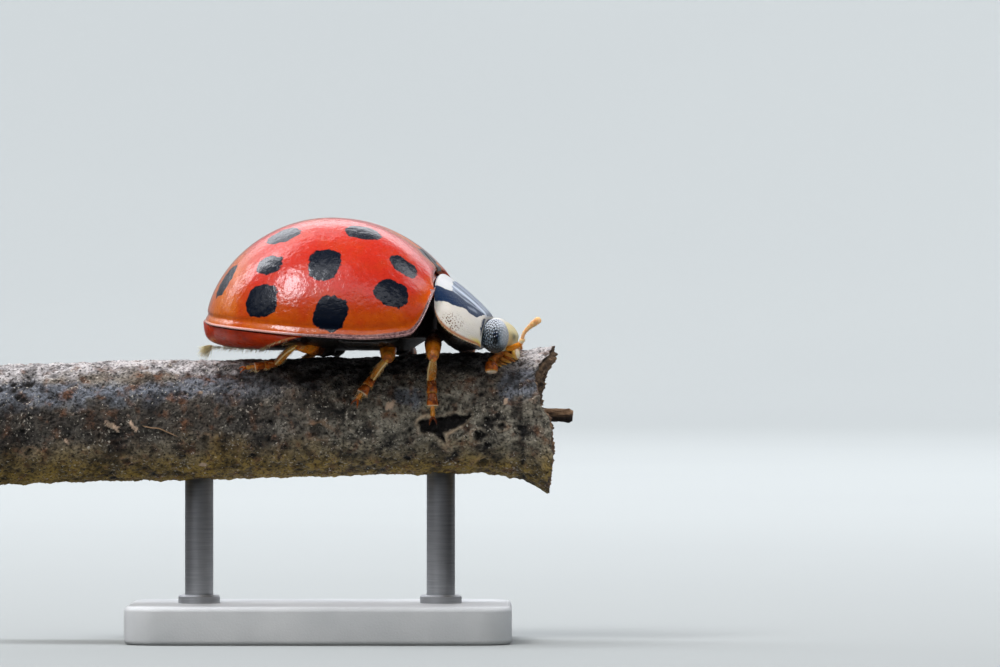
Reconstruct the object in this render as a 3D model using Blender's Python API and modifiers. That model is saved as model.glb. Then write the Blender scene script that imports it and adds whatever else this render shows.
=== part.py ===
"""Harlequin ladybird walking along a broken twig, life size, on a plain display stand.

A standalone Blender 4.5 script in metres, +Z up. The origin is the middle of the stand's
underside. The twig runs along X with its broken end at +X, and the beetle faces +X, turned
a little towards -Y. The beetle is drawn in its own frame: x towards its head, y towards its
left, z up, with the origin in the middle of the wing cases, at the level of their rim.
"""

from math import asin, copysign, cos, degrees, pi, radians, sin, sqrt

import bmesh
import bpy
from mathutils import Matrix, Vector

MM = 0.001
GAP = 0.03 * MM
WELD = 0.0001 * MM

# The beetle on its twig.
BODY_ORIGIN = Vector((0.29, 0.0, 7.37)) * MM
BODY_YAW = radians(-10.0)

# Wing cases: a dome over a rounded plan, split along the back.
DOME_REAR = 3.00 * MM
DOME_FRONT = 3.15 * MM
DOME_HALF_WIDTH = 2.80 * MM
DOME_HEIGHT = 2.78 * MM
DOME_POWER_REAR = 2.1
DOME_POWER_FRONT = 2.9
CASE_THICKNESS = 0.50 * MM
CASE_BASE = 2.62 * MM
CASE_BASE_BEND = 0.05 / MM
RIM_FLARE = 0.12 * MM
RIM_ANGLE = radians(10.0)
RIM_FADE_FROM = 1.80 * MM
RIM_LOW = -0.142 * MM
RIM_LOWEST_AT = 1.3 * MM
RIM_RISE_REAR = 0.055
RIM_RISE_REAR_POWER = 1.4
RIM_RISE_FRONT = 0.11
TIP_RISE = 0.25
TIP_AT = -2.45 * MM
SHOULDER_RISE = 3.4
SHOULDER_AT = 2.28 * MM
CASE_TURN = 0.75 * pi
CASE_ROWS = 18
CASE_COLUMNS = 10
CASE_CROWDING = 1.35

# Scutellum: the small triangle between the bases of the wing cases.
SCUTELLUM_LENGTH = 0.42 * MM
SCUTELLUM_HALF_WIDTH = 0.28 * MM
SCUTELLUM_DEPTH = 0.35 * MM

# Pronotum: the shield behind the head.
PRONOTUM_REAR = 2.66 * MM
PRONOTUM_FRONT = 3.85 * MM
PRONOTUM_BEND = 0.16 * MM
PRONOTUM_HALF_REAR = 1.75 * MM
PRONOTUM_WIDEN = 1.09 * MM
PRONOTUM_NARROW = 1.49 * MM
PRONOTUM_TOP_REAR = 1.45 * MM
PRONOTUM_TOP_DROP = 0.97 * MM
PRONOTUM_EDGE_REAR = 0.70 * MM
PRONOTUM_EDGE_FALL = 1.00 * MM
PRONOTUM_EDGE_POWER = 0.43
PRONOTUM_THICKNESS = 0.40 * MM
PRONOTUM_RIM = 0.30 * MM
PRONOTUM_ROWS = 6
PRONOTUM_CROWDING = 1.6
PRONOTUM_COLUMNS = 16

# Trunk under the shields.
TRUNK_CLEARANCE = 0.05 * MM
TRUNK_INSET = CASE_THICKNESS + TRUNK_CLEARANCE
TRUNK_SPANS = 11
WAIST = -0.20 * MM
BELLY_LOW = -0.41 * MM
NECK_LOW = -0.12 * MM
NECK_FROM = 1.75 * MM
NECK_TO = 2.10 * MM
BELLY_HALF_WIDTH = 2.24 * MM
TAIL_REACH = 3.08 * MM
THORAX_FRONT = 2.58 * MM
PROTHORAX_LOW = -0.36 * MM
PROTHORAX_LOW_REAR = -0.26 * MM

# Head and its pieces.
HEAD_CENTRE = Vector((4.10, 0.0, -0.03)) * MM
HEAD_HALF = Vector((0.49, 0.93, 0.44)) * MM
HEAD_PITCH = radians(12.0)
EYE_CENTRE = Vector((4.12, 0.80, -0.06)) * MM
EYE_HALF = Vector((0.34, 0.30, 0.42)) * MM
MOUTH_CENTRE = Vector((4.40, 0.0, -0.46)) * MM
MOUTH_HALF = Vector((0.29, 0.40, 0.25)) * MM
FEELER_RADIUS = 0.235 * MM
CLUB_RADIUS = 0.26 * MM
PALP_RADIUS = 0.24 * MM

# Routes in the beetle's frame, in millimetres: the right feeler is raised, the left one
# is laid back beside the head, and the left palp is tucked forward above the twig.
FEELER_ROUTES = {
    "right": ((4.42, -0.46, -0.26), (4.70, -0.56, -0.20), (4.86, -0.75, 0.02), (5.20, -0.98, 0.30)),
    "left": ((4.40, 0.46, -0.10), (4.62, 0.70, -0.04), (4.66, 1.05, 0.04), (4.56, 1.42, 0.12)),
}
PALP_ROUTES = {
    "right": ((4.22, -0.42, -0.50), (4.04, -0.60, -0.66), (4.02, -0.72, -0.88)),
    "left": ((4.34, 0.44, -0.40), (4.58, 0.62, -0.37), (4.72, 0.84, -0.32)),
}

# Legs: hip and knee in the beetle's frame, in millimetres; ankle and toe on the bark, each
# as its place along the twig in millimetres and its angle round it from the top, towards +Y.
FEMUR_RADIUS = 0.25 * MM
TIBIA_RADIUS = 0.235 * MM
TARSUS_RADIUS = 0.235 * MM
LEGS = {
    "front_right": ((2.80, -0.85, -0.32), (2.76, -1.70, -0.58), (2.69, -79.0), (2.74, -97.0)),
    "middle_right": ((1.50, -0.85, -0.42), (1.58, -1.65, -0.58), (1.30, -54.0), (0.93, -73.0)),
    "hind_right": ((-0.05, -0.75, -0.42), (-0.48, -1.70, -0.27), (-1.00, -34.0), (-1.80, -38.5)),
    "front_left": ((3.00, 1.00, -0.30), (3.05, 1.75, -0.42), (3.49, 62.0), (3.60, 81.0)),
    "middle_left": ((1.50, 0.95, -0.40), (1.60, 1.85, -0.50), (1.89, 58.0), (1.55, 77.0)),
    "hind_left": ((-0.05, 0.75, -0.42), (-0.50, 1.70, -0.28), (-0.66, 46.0), (-1.34, 52.0)),
}
RECESSES = {
    "abdomen": ("hind_right", "hind_left"),
    "thorax": ("middle_right", "middle_left", "hind_right", "hind_left"),
    "prothorax": ("front_right", "front_left"),
}

# Twig: a cut length, broken off and flared at its +X end.
TWIG_RADIUS = 1.416 * MM
TWIG_AXIS_HEIGHT = 5.372 * MM
TWIG_SLOPE = 0.0237
TWIG_CUT_END = -7.97 * MM
TWIG_BROKEN_END = 5.30 * MM
FLARE_START = 3.70 * MM
FLARE_LENGTH = 1.6 * MM
FLARE_ABOVE = 0.10 * MM
FLARE_BELOW = 0.45 * MM
HEART_SHARE = 0.62
HEART_RECESS = 0.24 * MM
HEART_EVENNESS = 0.35
TWIG_SIDES = 24
TWIG_ROWS = 16
SPUR_RADIUS = 0.17 * MM
SPUR_TIP = 6.07 * MM
SPUR_PLACE = Vector((0.0, 0.30, 5.41)) * MM

# Where the broken end reaches, in millimetres, by degrees round the twig from its top
# towards +Y: a prong on top, a bite below it on the near side, and a long lower lip.
BREAK_REACH = (
    (0.0, 5.60), (30.0, 5.50), (70.0, 5.30), (110.0, 5.35), (150.0, 5.50), (180.0, 5.47),
    (210.0, 5.50), (240.0, 5.58), (262.0, 5.50), (278.0, 5.30), (300.0, 5.14), (318.0, 5.25),
    (335.0, 5.52), (360.0, 5.60),
)

# Stand: a rounded plate and two rods.
BASE_SIZE = Vector((9.2, 6.6, 0.9)) * MM
BASE_CORNER = 0.9 * MM
BASE_EDGE = 0.12 * MM
ROD_RADIUS = 0.36 * MM
ROD_PLACES = {"stand_rod_rear": -2.9 * MM, "stand_rod_front": 2.9 * MM}
ROD_SIDES = 24

CASE_RED = (0.55, 0.055, 0.018)
CREAM = (0.72, 0.66, 0.52)
BLACK = (0.012, 0.012, 0.014)
AMBER = (0.30, 0.095, 0.018)
BELLY_BROWN = (0.26, 0.055, 0.012)
BARK_GREY = (0.075, 0.066, 0.058)
WOOD = (0.20, 0.13, 0.085)
STAND_GREY = (0.55, 0.55, 0.54)
STEEL = (0.56, 0.56, 0.58)

BODY_FRAME = Matrix.Translation(BODY_ORIGIN) @ Matrix.Rotation(BODY_YAW, 4, "Z")


def clear_scene():
    """Remove every object, so the script can run in an open file."""
    for item in list(bpy.data.objects):
        bpy.data.objects.remove(item, do_unlink=True)


def new_collection(name, parent):
    """Make a collection under another."""
    made = bpy.data.collections.new(name)
    parent.children.link(made)
    return made


def new_material(name, colour, roughness, metallic=0.0):
    """Make a Principled material of one colour."""
    made = bpy.data.materials.new(name)
    made.use_nodes = True
    shader = made.node_tree.nodes["Principled BSDF"]
    shader.inputs["Base Color"].default_value = (*colour, 1.0)
    shader.inputs["Roughness"].default_value = roughness
    shader.inputs["Metallic"].default_value = metallic
    return made


def add_object(name, mesh, material, parent=None):
    """Put a mesh in the scene under its name, shaded smooth except at its edges."""
    mesh.name = name
    mesh.materials.clear()
    mesh.materials.append(material)
    mesh.shade_smooth()
    mesh.set_sharp_from_angle(angle=radians(40.0))
    item = bpy.data.objects.new(name, mesh)
    PARTS.objects.link(item)
    item.parent = parent
    return item


def finish_mesh(solid):
    """Weld a bmesh, turn its faces outwards and hand it over as a mesh."""
    bmesh.ops.remove_doubles(solid, verts=solid.verts, dist=WELD)
    bmesh.ops.recalc_face_normals(solid, faces=solid.faces)
    mesh = bpy.data.meshes.new("solid")
    solid.to_mesh(mesh)
    solid.free()
    return mesh


def loft(rings):
    """Skin equal rings of points one after another and close both ends."""
    solid = bmesh.new()
    rows = [[solid.verts.new(point) for point in ring] for ring in rings]
    count = len(rows[0])
    for row, after in zip(rows, rows[1:]):
        for i in range(count):
            j = (i + 1) % count
            solid.faces.new((row[i], row[j], after[j], after[i]))
    solid.faces.new(rows[0])
    solid.faces.new(list(reversed(rows[-1])))
    return finish_mesh(solid)


def plate(outer, inner):
    """Close the space between two equal grids of points, joined round their edges."""
    solid = bmesh.new()
    above = [[solid.verts.new(point) for point in row] for row in outer]
    below = [[solid.verts.new(point) for point in row] for row in inner]
    for grid in (above, below):
        for row, after in zip(grid, grid[1:]):
            for i in range(len(row) - 1):
                solid.faces.new((row[i], row[i + 1], after[i + 1], after[i]))
    edges = [(above[0], below[0]), (above[-1], below[-1])]
    edges.append(([row[0] for row in above], [row[0] for row in below]))
    edges.append(([row[-1] for row in above], [row[-1] for row in below]))
    for top, bottom in edges:
        for i in range(len(top) - 1):
            solid.faces.new((top[i], top[i + 1], bottom[i + 1], bottom[i]))
    return finish_mesh(solid)


def ellipsoid(centre, half, pitch=0.0, segments=20, rings=12):
    """A ball with three half sizes, nodding down by its pitch."""
    solid = bmesh.new()
    bmesh.ops.create_uvsphere(solid, u_segments=segments, v_segments=rings, radius=1.0)
    place = Matrix.Translation(centre) @ Matrix.Rotation(pitch, 4, "Y") @ Matrix.Diagonal((*half, 1.0))
    solid.transform(place)
    return finish_mesh(solid)


def smooth_route(points, count):
    """Read points evenly from a Catmull-Rom curve through a few points."""
    padded = [points[0] * 2 - points[1], *points, points[-1] * 2 - points[-2]]
    spans = len(points) - 1
    route = []
    for step in range(count):
        place = step / (count - 1) * spans
        i = min(int(place), spans - 1)
        t = place - i
        a, b, c, d = padded[i:i + 4]
        bend = (b * 2 + (c - a) * t + (a * 2 - b * 5 + c * 4 - d) * t * t
                + (b * 3 - a - c * 3 + d) * t * t * t)
        route.append(bend * 0.5)
    return route


def limb(points, profile, count=7):
    """A tube along a route, whose radius follows a profile of its length."""
    route = smooth_route(points, count)
    curve = bpy.data.curves.new("limb", "CURVE")
    curve.dimensions = "3D"
    curve.bevel_depth = 1.0
    curve.bevel_resolution = 2
    curve.use_fill_caps = True
    spline = curve.splines.new("POLY")
    spline.points.add(count - 1)
    for i, (target, place) in enumerate(zip(spline.points, route)):
        target.co = (*place, 1.0)
        target.radius = profile(i / (count - 1))
    item = bpy.data.objects.new("limb", curve)
    PARTS.objects.link(item)
    source = item.evaluated_get(bpy.context.evaluated_depsgraph_get())
    mesh = bpy.data.meshes.new_from_object(source)
    bpy.data.objects.remove(item, do_unlink=True)
    bpy.data.curves.remove(curve)
    solid = bmesh.new()
    solid.from_mesh(mesh)
    bpy.data.meshes.remove(mesh)
    return finish_mesh(solid)


def rounded(radius, end=0.22, tip=0.55):
    """A limb's profile: full in its length and drawn in at both ends."""
    def profile(t):
        reach = min(1.0, min(t, 1.0 - t) / end)
        return radius * (tip + (1.0 - tip) * sqrt(1.0 - (1.0 - reach) ** 2))
    return profile


def carve(item, *others):
    """Cut others out of an object, with a gap all round them."""
    for other in others:
        mesh = other.data.copy()
        solid = bmesh.new()
        solid.from_mesh(mesh)
        solid.transform(other.matrix_world)
        solid.normal_update()
        for vert in solid.verts:
            vert.co += vert.normal * GAP
        solid.to_mesh(mesh)
        solid.free()
        cutter = bpy.data.objects.new(f"cut_{item.name}_{other.name}", mesh)
        cutter.hide_render = True
        cutter.display_type = "WIRE"
        CUTTERS.objects.link(cutter)
        cut = item.modifiers.new(f"cut_{other.name}", "BOOLEAN")
        cut.operation = "DIFFERENCE"
        cut.object = cutter


def rim_height(x):
    """Height of the wing cases' rim at a length along the body, lowest under their front half."""
    behind = max(0.0, RIM_LOWEST_AT - x) / MM
    ahead = max(0.0, x - RIM_LOWEST_AT) / MM
    tip = max(0.0, TIP_AT - x) / MM
    shoulder = max(0.0, x - SHOULDER_AT) / MM
    rise = RIM_RISE_REAR * behind ** RIM_RISE_REAR_POWER + RIM_RISE_FRONT * ahead ** 2
    return RIM_LOW + (rise + TIP_RISE * tip ** 2 + SHOULDER_RISE * shoulder ** 2) * MM


def dome_shape(x, inset):
    """The dome's reach, half width and power on this side of its middle."""
    if x < 0:
        return DOME_REAR - inset, DOME_HALF_WIDTH - inset, DOME_POWER_REAR
    return DOME_FRONT - inset, DOME_HALF_WIDTH - inset, DOME_POWER_FRONT


def dome_half_width(x, inset):
    """Half width of the dome's plan at a length along the body."""
    reach, half, power = dome_shape(x, inset)
    return half * max(0.0, 1.0 - abs(x / reach) ** power) ** (1.0 / power)


def dome_rise(x, y, inset):
    """How far up the dome a place is, from 0 at the rim to 1 at the top."""
    reach, half, power = dome_shape(x, inset)
    out = (abs(x / reach) ** power + abs(y / half) ** power) ** (1.0 / power)
    return sqrt(max(0.0, 1.0 - out * out))


def dome_height(x, y, inset):
    """Height of the dome over a place."""
    rise = dome_rise(x, y, inset)
    return (DOME_HEIGHT - inset) * rise + rim_height(x) * (1.0 - rise) ** 3


def case_base(y):
    """Where a wing case meets the pronotum, notched in the middle for the scutellum."""
    notch = SCUTELLUM_LENGTH * max(0.0, 1.0 - abs(y) / SCUTELLUM_HALF_WIDTH)
    return CASE_BASE + CASE_BASE_BEND * y * y - notch


def case_columns(width):
    """Angles from seam to rim: one beside the scutellum, the rest crowded at the rim."""
    first = asin(SCUTELLUM_HALF_WIDTH / width)
    angles = [0.0]
    for j in range(CASE_COLUMNS):
        share = 1.0 - (1.0 - j / (CASE_COLUMNS - 1)) ** CASE_CROWDING
        angles.append(first + (pi / 2 - first) * share)
    return angles


def case_grid(side, inset):
    """Rows of points over one wing case, from its tip forwards, and from seam to rim."""
    tip = -(DOME_REAR - inset)
    base_width = dome_half_width(CASE_BASE, inset)
    rows = []
    for i in range(CASE_ROWS + 1):
        along = (1.0 - cos(i / CASE_ROWS * CASE_TURN)) / (1.0 - cos(CASE_TURN))
        row = []
        for down in case_columns(base_width):
            x = tip + along * (case_base(base_width * sin(down)) - tip)
            y = dome_half_width(x, inset) * sin(down)
            z = dome_height(x, y, inset)
            if inset == 0.0:
                x, y = flare_rim(x, y)
            row.append((x, side * (y + GAP / 2), z))
        rows.append(row)
    return rows


def flare_rim(x, y):
    """Spread a place near the rim outwards, less so towards the shoulder."""
    reach, half, power = dome_shape(x, 0.0)
    up = asin(dome_rise(x, y, 0.0))
    fade = min(1.0, max(0.0, (CASE_BASE - x) / (CASE_BASE - RIM_FADE_FROM)))
    flare = RIM_FLARE * fade * max(0.0, 1.0 - up / RIM_ANGLE) ** 2
    ahead = copysign(abs(x / reach) ** (power - 1.0) / reach, x)
    heading = Vector((ahead, abs(y / half) ** (power - 1.0) / half))
    heading.normalize()
    return x + flare * heading.x, y + flare * heading.y


def pronotum_point(u, v, inset):
    """A place on the pronotum: u across from -1 to 1, v from its rear edge to its front."""
    half = PRONOTUM_HALF_REAR + PRONOTUM_WIDEN * v - PRONOTUM_NARROW * v * v
    half -= PRONOTUM_RIM * inset / PRONOTUM_THICKNESS
    top = PRONOTUM_TOP_REAR - PRONOTUM_TOP_DROP * v ** 1.25 - inset
    edge = PRONOTUM_EDGE_REAR - PRONOTUM_EDGE_FALL * v ** PRONOTUM_EDGE_POWER
    x = PRONOTUM_REAR + (PRONOTUM_FRONT - PRONOTUM_REAR) * v + PRONOTUM_BEND * (1.0 - v) * u * u
    return x, half * u, edge + (top - edge) * max(0.0, 1.0 - u * u) ** 0.59


def pronotum_share(i):
    """How far forward a row of the pronotum is; the rows crowd at its rear edge."""
    return (i / PRONOTUM_ROWS) ** PRONOTUM_CROWDING


def pronotum_grid(inset):
    """Rows of points over the pronotum, closer together near its sides."""
    rows = []
    for i in range(PRONOTUM_ROWS + 1):
        row = []
        for j in range(PRONOTUM_COLUMNS + 1):
            u = -cos(j / PRONOTUM_COLUMNS * pi)
            row.append(pronotum_point(u, pronotum_share(i), inset))
        rows.append(row)
    return rows


def trunk_ring(x, half, low):
    """A cross-section of the trunk: the inside of the dome above and the belly below."""
    inner = min(half, dome_half_width(x, TRUNK_INSET))
    across = [inner * cos(pi * i / TRUNK_SPANS) for i in range(TRUNK_SPANS + 1)]
    ring = []
    for y in (half, *across, -half):
        ring.append((x, y, dome_height(x, y, TRUNK_INSET) - TRUNK_CLEARANCE))
    edge = ring[0][2]
    for i in range(1, TRUNK_SPANS):
        turn = pi * i / TRUNK_SPANS
        ring.append((x, -half * cos(turn), edge + (low - edge) * sin(turn)))
    return ring


def belly_half_width(x):
    """Half width of the trunk, which reaches back past the wing cases."""
    if x > 0:
        return min(BELLY_HALF_WIDTH, dome_half_width(x, TRUNK_INSET))
    return BELLY_HALF_WIDTH * max(0.0, 1.0 - abs(x / TAIL_REACH) ** 2.4) ** (1 / 2.4)


def build_wing_cases(parent, red, black):
    """The two wing cases and the scutellum between their bases."""
    for side, name in ((1, "elytron_left"), (-1, "elytron_right")):
        add_object(name, plate(case_grid(side, 0.0), case_grid(side, CASE_THICKNESS)), red, parent)
    tip = case_base(0.0) + 2 * GAP
    half = SCUTELLUM_HALF_WIDTH - 2 * GAP
    outline = [[(tip, 0.0)] * 3, [(CASE_BASE, -half), (CASE_BASE, 0.0), (CASE_BASE, half)]]
    above = [[(x, y, dome_height(x, y, 0.0)) for x, y in row] for row in outline]
    below = [[(x, y, z - SCUTELLUM_DEPTH) for x, y, z in row] for row in above]
    add_object("scutellum", plate(above, below), black, parent)


def build_trunk(parent, brown, black, cream):
    """Abdomen, thorax, prothorax and the pronotum over it."""
    rings = []
    for i in range(10):
        x = -TAIL_REACH * cos(i / 9 * pi / 2) + WAIST * i / 9
        low = BELLY_LOW * max(0.0, 1.0 - abs(x / TAIL_REACH) ** 5) ** 0.5
        rings.append(trunk_ring(x, belly_half_width(x), low))
    abdomen = add_object("abdomen", loft(rings[1:]), brown, parent)
    rings = []
    for i in range(7):
        x = WAIST + GAP + (THORAX_FRONT - WAIST) * i / 6
        raised = min(1.0, max(0.0, (x - NECK_FROM) / (NECK_TO - NECK_FROM)))
        rings.append(trunk_ring(x, belly_half_width(x), BELLY_LOW + (NECK_LOW - BELLY_LOW) * raised))
    thorax = add_object("thorax", loft(rings), black, parent)
    pronotum = add_object("pronotum", plate(pronotum_grid(0.0), pronotum_grid(PRONOTUM_THICKNESS)),
                          cream, parent)
    rings = []
    for i in range(PRONOTUM_ROWS):
        v = pronotum_share(i)
        ring = []
        for j in range(2 * PRONOTUM_COLUMNS):
            turn = pi * j / PRONOTUM_COLUMNS
            x, y, z = pronotum_point(cos(turn), v, PRONOTUM_THICKNESS + 0.06 * MM)
            edge = pronotum_point(1.0, v, 0.0)[2]
            if sin(turn) < 0:
                low = PROTHORAX_LOW_REAR + (PROTHORAX_LOW - PROTHORAX_LOW_REAR) * min(1.0, 3 * v)
                z = edge + (low - edge) * -sin(turn)
            ring.append((x + GAP, y, z))
        rings.append(ring)
    prothorax = add_object("prothorax", loft(rings), black, parent)
    return abdomen, thorax, prothorax, pronotum


def build_head(parent, pronotum, prothorax, twig, cream, black, amber):
    """Head, eyes, mouthparts, palps and feelers."""
    head = add_object("head", ellipsoid(HEAD_CENTRE, HEAD_HALF, HEAD_PITCH, 20, 11), cream, parent)
    mouth = add_object("mouthparts", ellipsoid(MOUTH_CENTRE, MOUTH_HALF, HEAD_PITCH, 12, 8), amber, parent)
    eyes = {}
    for side, name in ((1, "left"), (-1, "right")):
        centre = Vector((EYE_CENTRE.x, side * EYE_CENTRE.y, EYE_CENTRE.z))
        eyes[name] = add_object(f"eye_{name}", ellipsoid(centre, EYE_HALF, 0.0, 14, 9), black, parent)
    palps = []
    for name, eye in eyes.items():
        route = [Vector(point) * MM for point in FEELER_ROUTES[name]]
        feeler = add_object(f"antenna_{name}", limb(route, club_profile, 10), amber, parent)
        route = [Vector(point) * MM for point in PALP_ROUTES[name]]
        palp = add_object(f"palp_{name}", limb(route, rounded(PALP_RADIUS), 7), amber, parent)
        palps.append((palp, feeler, eye))
    bpy.context.view_layer.update()
    carve(head, pronotum, prothorax, *eyes.values())
    carve(mouth, head, twig)
    for palp, feeler, eye in palps:
        carve(eye, pronotum)
        carve(feeler, head, eye, mouth)
        carve(palp, head, eye, mouth, feeler, twig)


def club_profile(t):
    """A feeler's radius: even along its stalk, with a club at the tip."""
    club = max(0.0, (t - 0.6) / 0.4)
    radius = FEELER_RADIUS + (CLUB_RADIUS - FEELER_RADIUS) * sin(pi / 2 * club)
    return radius * rounded(1.0, 0.12, 0.5)(t)


def on_bark(along, turn, lift):
    """A point above the bark, in the beetle's frame."""
    angle = radians(turn)
    out = TWIG_RADIUS + lift
    height = TWIG_AXIS_HEIGHT + TWIG_SLOPE * along * MM
    world = Vector((along * MM, out * sin(angle), height + out * cos(angle)))
    return BODY_FRAME.inverted() @ world


def build_legs(parent, trunk, twig, amber):
    """Femur, tibia and tarsus of the six legs, and the recesses under the trunk for them."""
    legs = {}
    for name, (hip, knee, ankle, toe) in LEGS.items():
        hip = Vector(hip) * MM
        knee = Vector(knee) * MM
        foot = on_bark(*ankle, TIBIA_RADIUS + GAP)
        middle = (ankle[0] + toe[0]) / 2, (ankle[1] + toe[1]) / 2
        lift = TARSUS_RADIUS + GAP
        route = [on_bark(*place, lift) for place in (ankle, middle, toe)]
        femur = add_object(f"leg_{name}_femur", limb([hip, knee], rounded(FEMUR_RADIUS)), amber, parent)
        tibia = add_object(f"leg_{name}_tibia", limb([knee, foot], rounded(TIBIA_RADIUS)), amber, parent)
        tarsus = add_object(f"leg_{name}_tarsus", limb(route, rounded(TARSUS_RADIUS)), amber, parent)
        legs[name] = (femur, tibia, tarsus)
    bpy.context.view_layer.update()
    for femur, tibia, tarsus in legs.values():
        carve(femur, twig)
        carve(tibia, femur, twig)
        carve(tarsus, tibia, twig)
    for part in trunk:
        for name in RECESSES[part.name]:
            femur, tibia, tarsus = legs[name]
            carve(part, femur, tibia)


def broken_edge(turn):
    """Where the broken end reaches at an angle round the twig."""
    angle = degrees(turn)
    reach = BREAK_REACH[0][1]
    for (low, start), (high, end) in zip(BREAK_REACH, BREAK_REACH[1:]):
        if low <= angle < high:
            reach = start + (end - start) * (angle - low) / (high - low)
    return reach * MM


def build_twig(bark, wood):
    """The cut length of twig, and the spur of wood that stands out of its broken end."""
    rings = []
    for i in range(TWIG_ROWS + 1):
        along = i / TWIG_ROWS
        rings.append(twig_ring(along ** 0.8, 1.0))
    rings.append(twig_ring(1.0, HEART_SHARE, HEART_EVENNESS, HEART_RECESS))
    twig = add_object("perch_twig", loft(rings), bark)
    tip = Vector((SPUR_TIP, SPUR_PLACE.y, SPUR_PLACE.z))
    root = Vector((TWIG_BROKEN_END - 0.5 * MM, SPUR_PLACE.y, SPUR_PLACE.z))
    spur = add_object("perch_spur", limb([root, tip], rounded(SPUR_RADIUS, 0.15, 0.8), 6), wood)
    bpy.context.view_layer.update()
    carve(twig, spur)
    return twig


def twig_ring(along, share, unevenness=1.0, recess=0.0):
    """A ring of bark at a place along the twig, or of the heart inside its broken end."""
    ring = []
    for j in range(TWIG_SIDES):
        turn = 2 * pi * j / TWIG_SIDES
        end = TWIG_BROKEN_END + (broken_edge(turn) - TWIG_BROKEN_END) * unevenness - recess
        x = TWIG_CUT_END + (end - TWIG_CUT_END) * along
        growth = (max(0.0, x - FLARE_START) / FLARE_LENGTH) ** 2
        below = sin(turn / 2) ** 4
        radius = TWIG_RADIUS + growth * (FLARE_ABOVE + (FLARE_BELOW - FLARE_ABOVE) * below)
        radius *= share
        height = TWIG_AXIS_HEIGHT + TWIG_SLOPE * x
        ring.append((x, radius * sin(turn), height + radius * cos(turn)))
    return ring


def build_stand(twig, grey, steel):
    """A rounded plate with two rods, whose tops are hollowed to take the twig."""
    solid = bmesh.new()
    bmesh.ops.create_cube(solid, size=1.0)
    solid.transform(Matrix.Translation((0, 0, BASE_SIZE.z / 2)) @ Matrix.Diagonal((*BASE_SIZE, 1.0)))
    uprights = [e for e in solid.edges if abs(e.verts[0].co.z - e.verts[1].co.z) > BASE_SIZE.z / 2]
    bmesh.ops.bevel(solid, geom=uprights, offset=BASE_CORNER, segments=6, affect="EDGES", profile=0.5)
    base = add_object("stand_base", finish_mesh(solid), grey)
    edge = base.modifiers.new("soft edges", "BEVEL")
    edge.width = BASE_EDGE
    edge.segments = 2
    edge.limit_method = "ANGLE"
    edge.angle_limit = radians(60.0)
    for name, x in ROD_PLACES.items():
        foot = BASE_SIZE.z + GAP
        top = TWIG_AXIS_HEIGHT + TWIG_SLOPE * x - TWIG_RADIUS + 0.1 * MM
        solid = bmesh.new()
        bmesh.ops.create_cone(solid, cap_ends=True, segments=ROD_SIDES, radius1=ROD_RADIUS,
                              radius2=ROD_RADIUS, depth=top - foot)
        solid.transform(Matrix.Translation((x, 0, (top + foot) / 2)))
        rod = add_object(name, finish_mesh(solid), steel)
        bpy.context.view_layer.update()
        carve(rod, twig)


def main():
    """Build the twig, the stand and the beetle on them."""
    red = new_material("wing_case_red", CASE_RED, 0.18)
    cream = new_material("cream_shield", CREAM, 0.35)
    black = new_material("black_shell", BLACK, 0.25)
    amber = new_material("amber_leg", AMBER, 0.35)
    brown = new_material("brown_belly", BELLY_BROWN, 0.40)
    bark = new_material("bark", BARK_GREY, 0.85)
    wood = new_material("broken_wood", WOOD, 0.80)
    grey = new_material("stand_plate", STAND_GREY, 0.50)
    steel = new_material("stand_steel", STEEL, 0.30, 1.0)
    twig = build_twig(bark, wood)
    build_stand(twig, grey, steel)
    beetle = bpy.data.objects.new("beetle_frame", None)
    beetle.matrix_world = BODY_FRAME
    PARTS.objects.link(beetle)
    build_wing_cases(beetle, red, black)
    abdomen, thorax, prothorax, pronotum = build_trunk(beetle, brown, black, cream)
    build_head(beetle, pronotum, prothorax, twig, cream, black, amber)
    build_legs(beetle, (abdomen, thorax, prothorax), twig, amber)


clear_scene()
PARTS = new_collection("ladybird", bpy.context.scene.collection)
CUTTERS = new_collection("cutters", bpy.context.scene.collection)
main()
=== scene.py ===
"""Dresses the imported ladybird, its twig and its stand in their real shapes and finishes.

Lengths are millimetres until a mesh is made. The beetle is drawn in its own frame: x towards
its head, y towards its left, z up, with the origin in the middle of the wing cases at the
level of their rim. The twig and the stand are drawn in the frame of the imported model.
"""

import logging
from collections.abc import Iterable, Sequence
from dataclasses import dataclass, field
from enum import Enum
from functools import cache
from math import cos, degrees, pi, radians, sin, sqrt

import bmesh
import bpy
import numpy as np
from mathutils import Matrix, Vector, noise
from mathutils.kdtree import KDTree


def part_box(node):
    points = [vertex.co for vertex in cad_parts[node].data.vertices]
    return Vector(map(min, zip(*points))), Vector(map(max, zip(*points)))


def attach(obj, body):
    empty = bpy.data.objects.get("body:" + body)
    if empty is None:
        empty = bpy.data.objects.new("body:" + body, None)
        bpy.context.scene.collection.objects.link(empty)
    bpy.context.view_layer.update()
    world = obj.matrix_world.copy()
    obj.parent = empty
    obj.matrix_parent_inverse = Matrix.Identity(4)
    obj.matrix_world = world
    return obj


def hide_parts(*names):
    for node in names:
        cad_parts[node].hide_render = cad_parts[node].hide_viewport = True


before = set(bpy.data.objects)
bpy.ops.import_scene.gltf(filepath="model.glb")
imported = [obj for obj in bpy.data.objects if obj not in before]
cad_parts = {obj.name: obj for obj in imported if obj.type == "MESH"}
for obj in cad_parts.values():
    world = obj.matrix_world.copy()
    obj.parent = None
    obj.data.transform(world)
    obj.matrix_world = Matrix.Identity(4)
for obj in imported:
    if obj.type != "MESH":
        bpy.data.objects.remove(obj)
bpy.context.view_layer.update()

MM = 0.001
BODY = "root"
LOG = logging.getLogger("ladybird")

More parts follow.
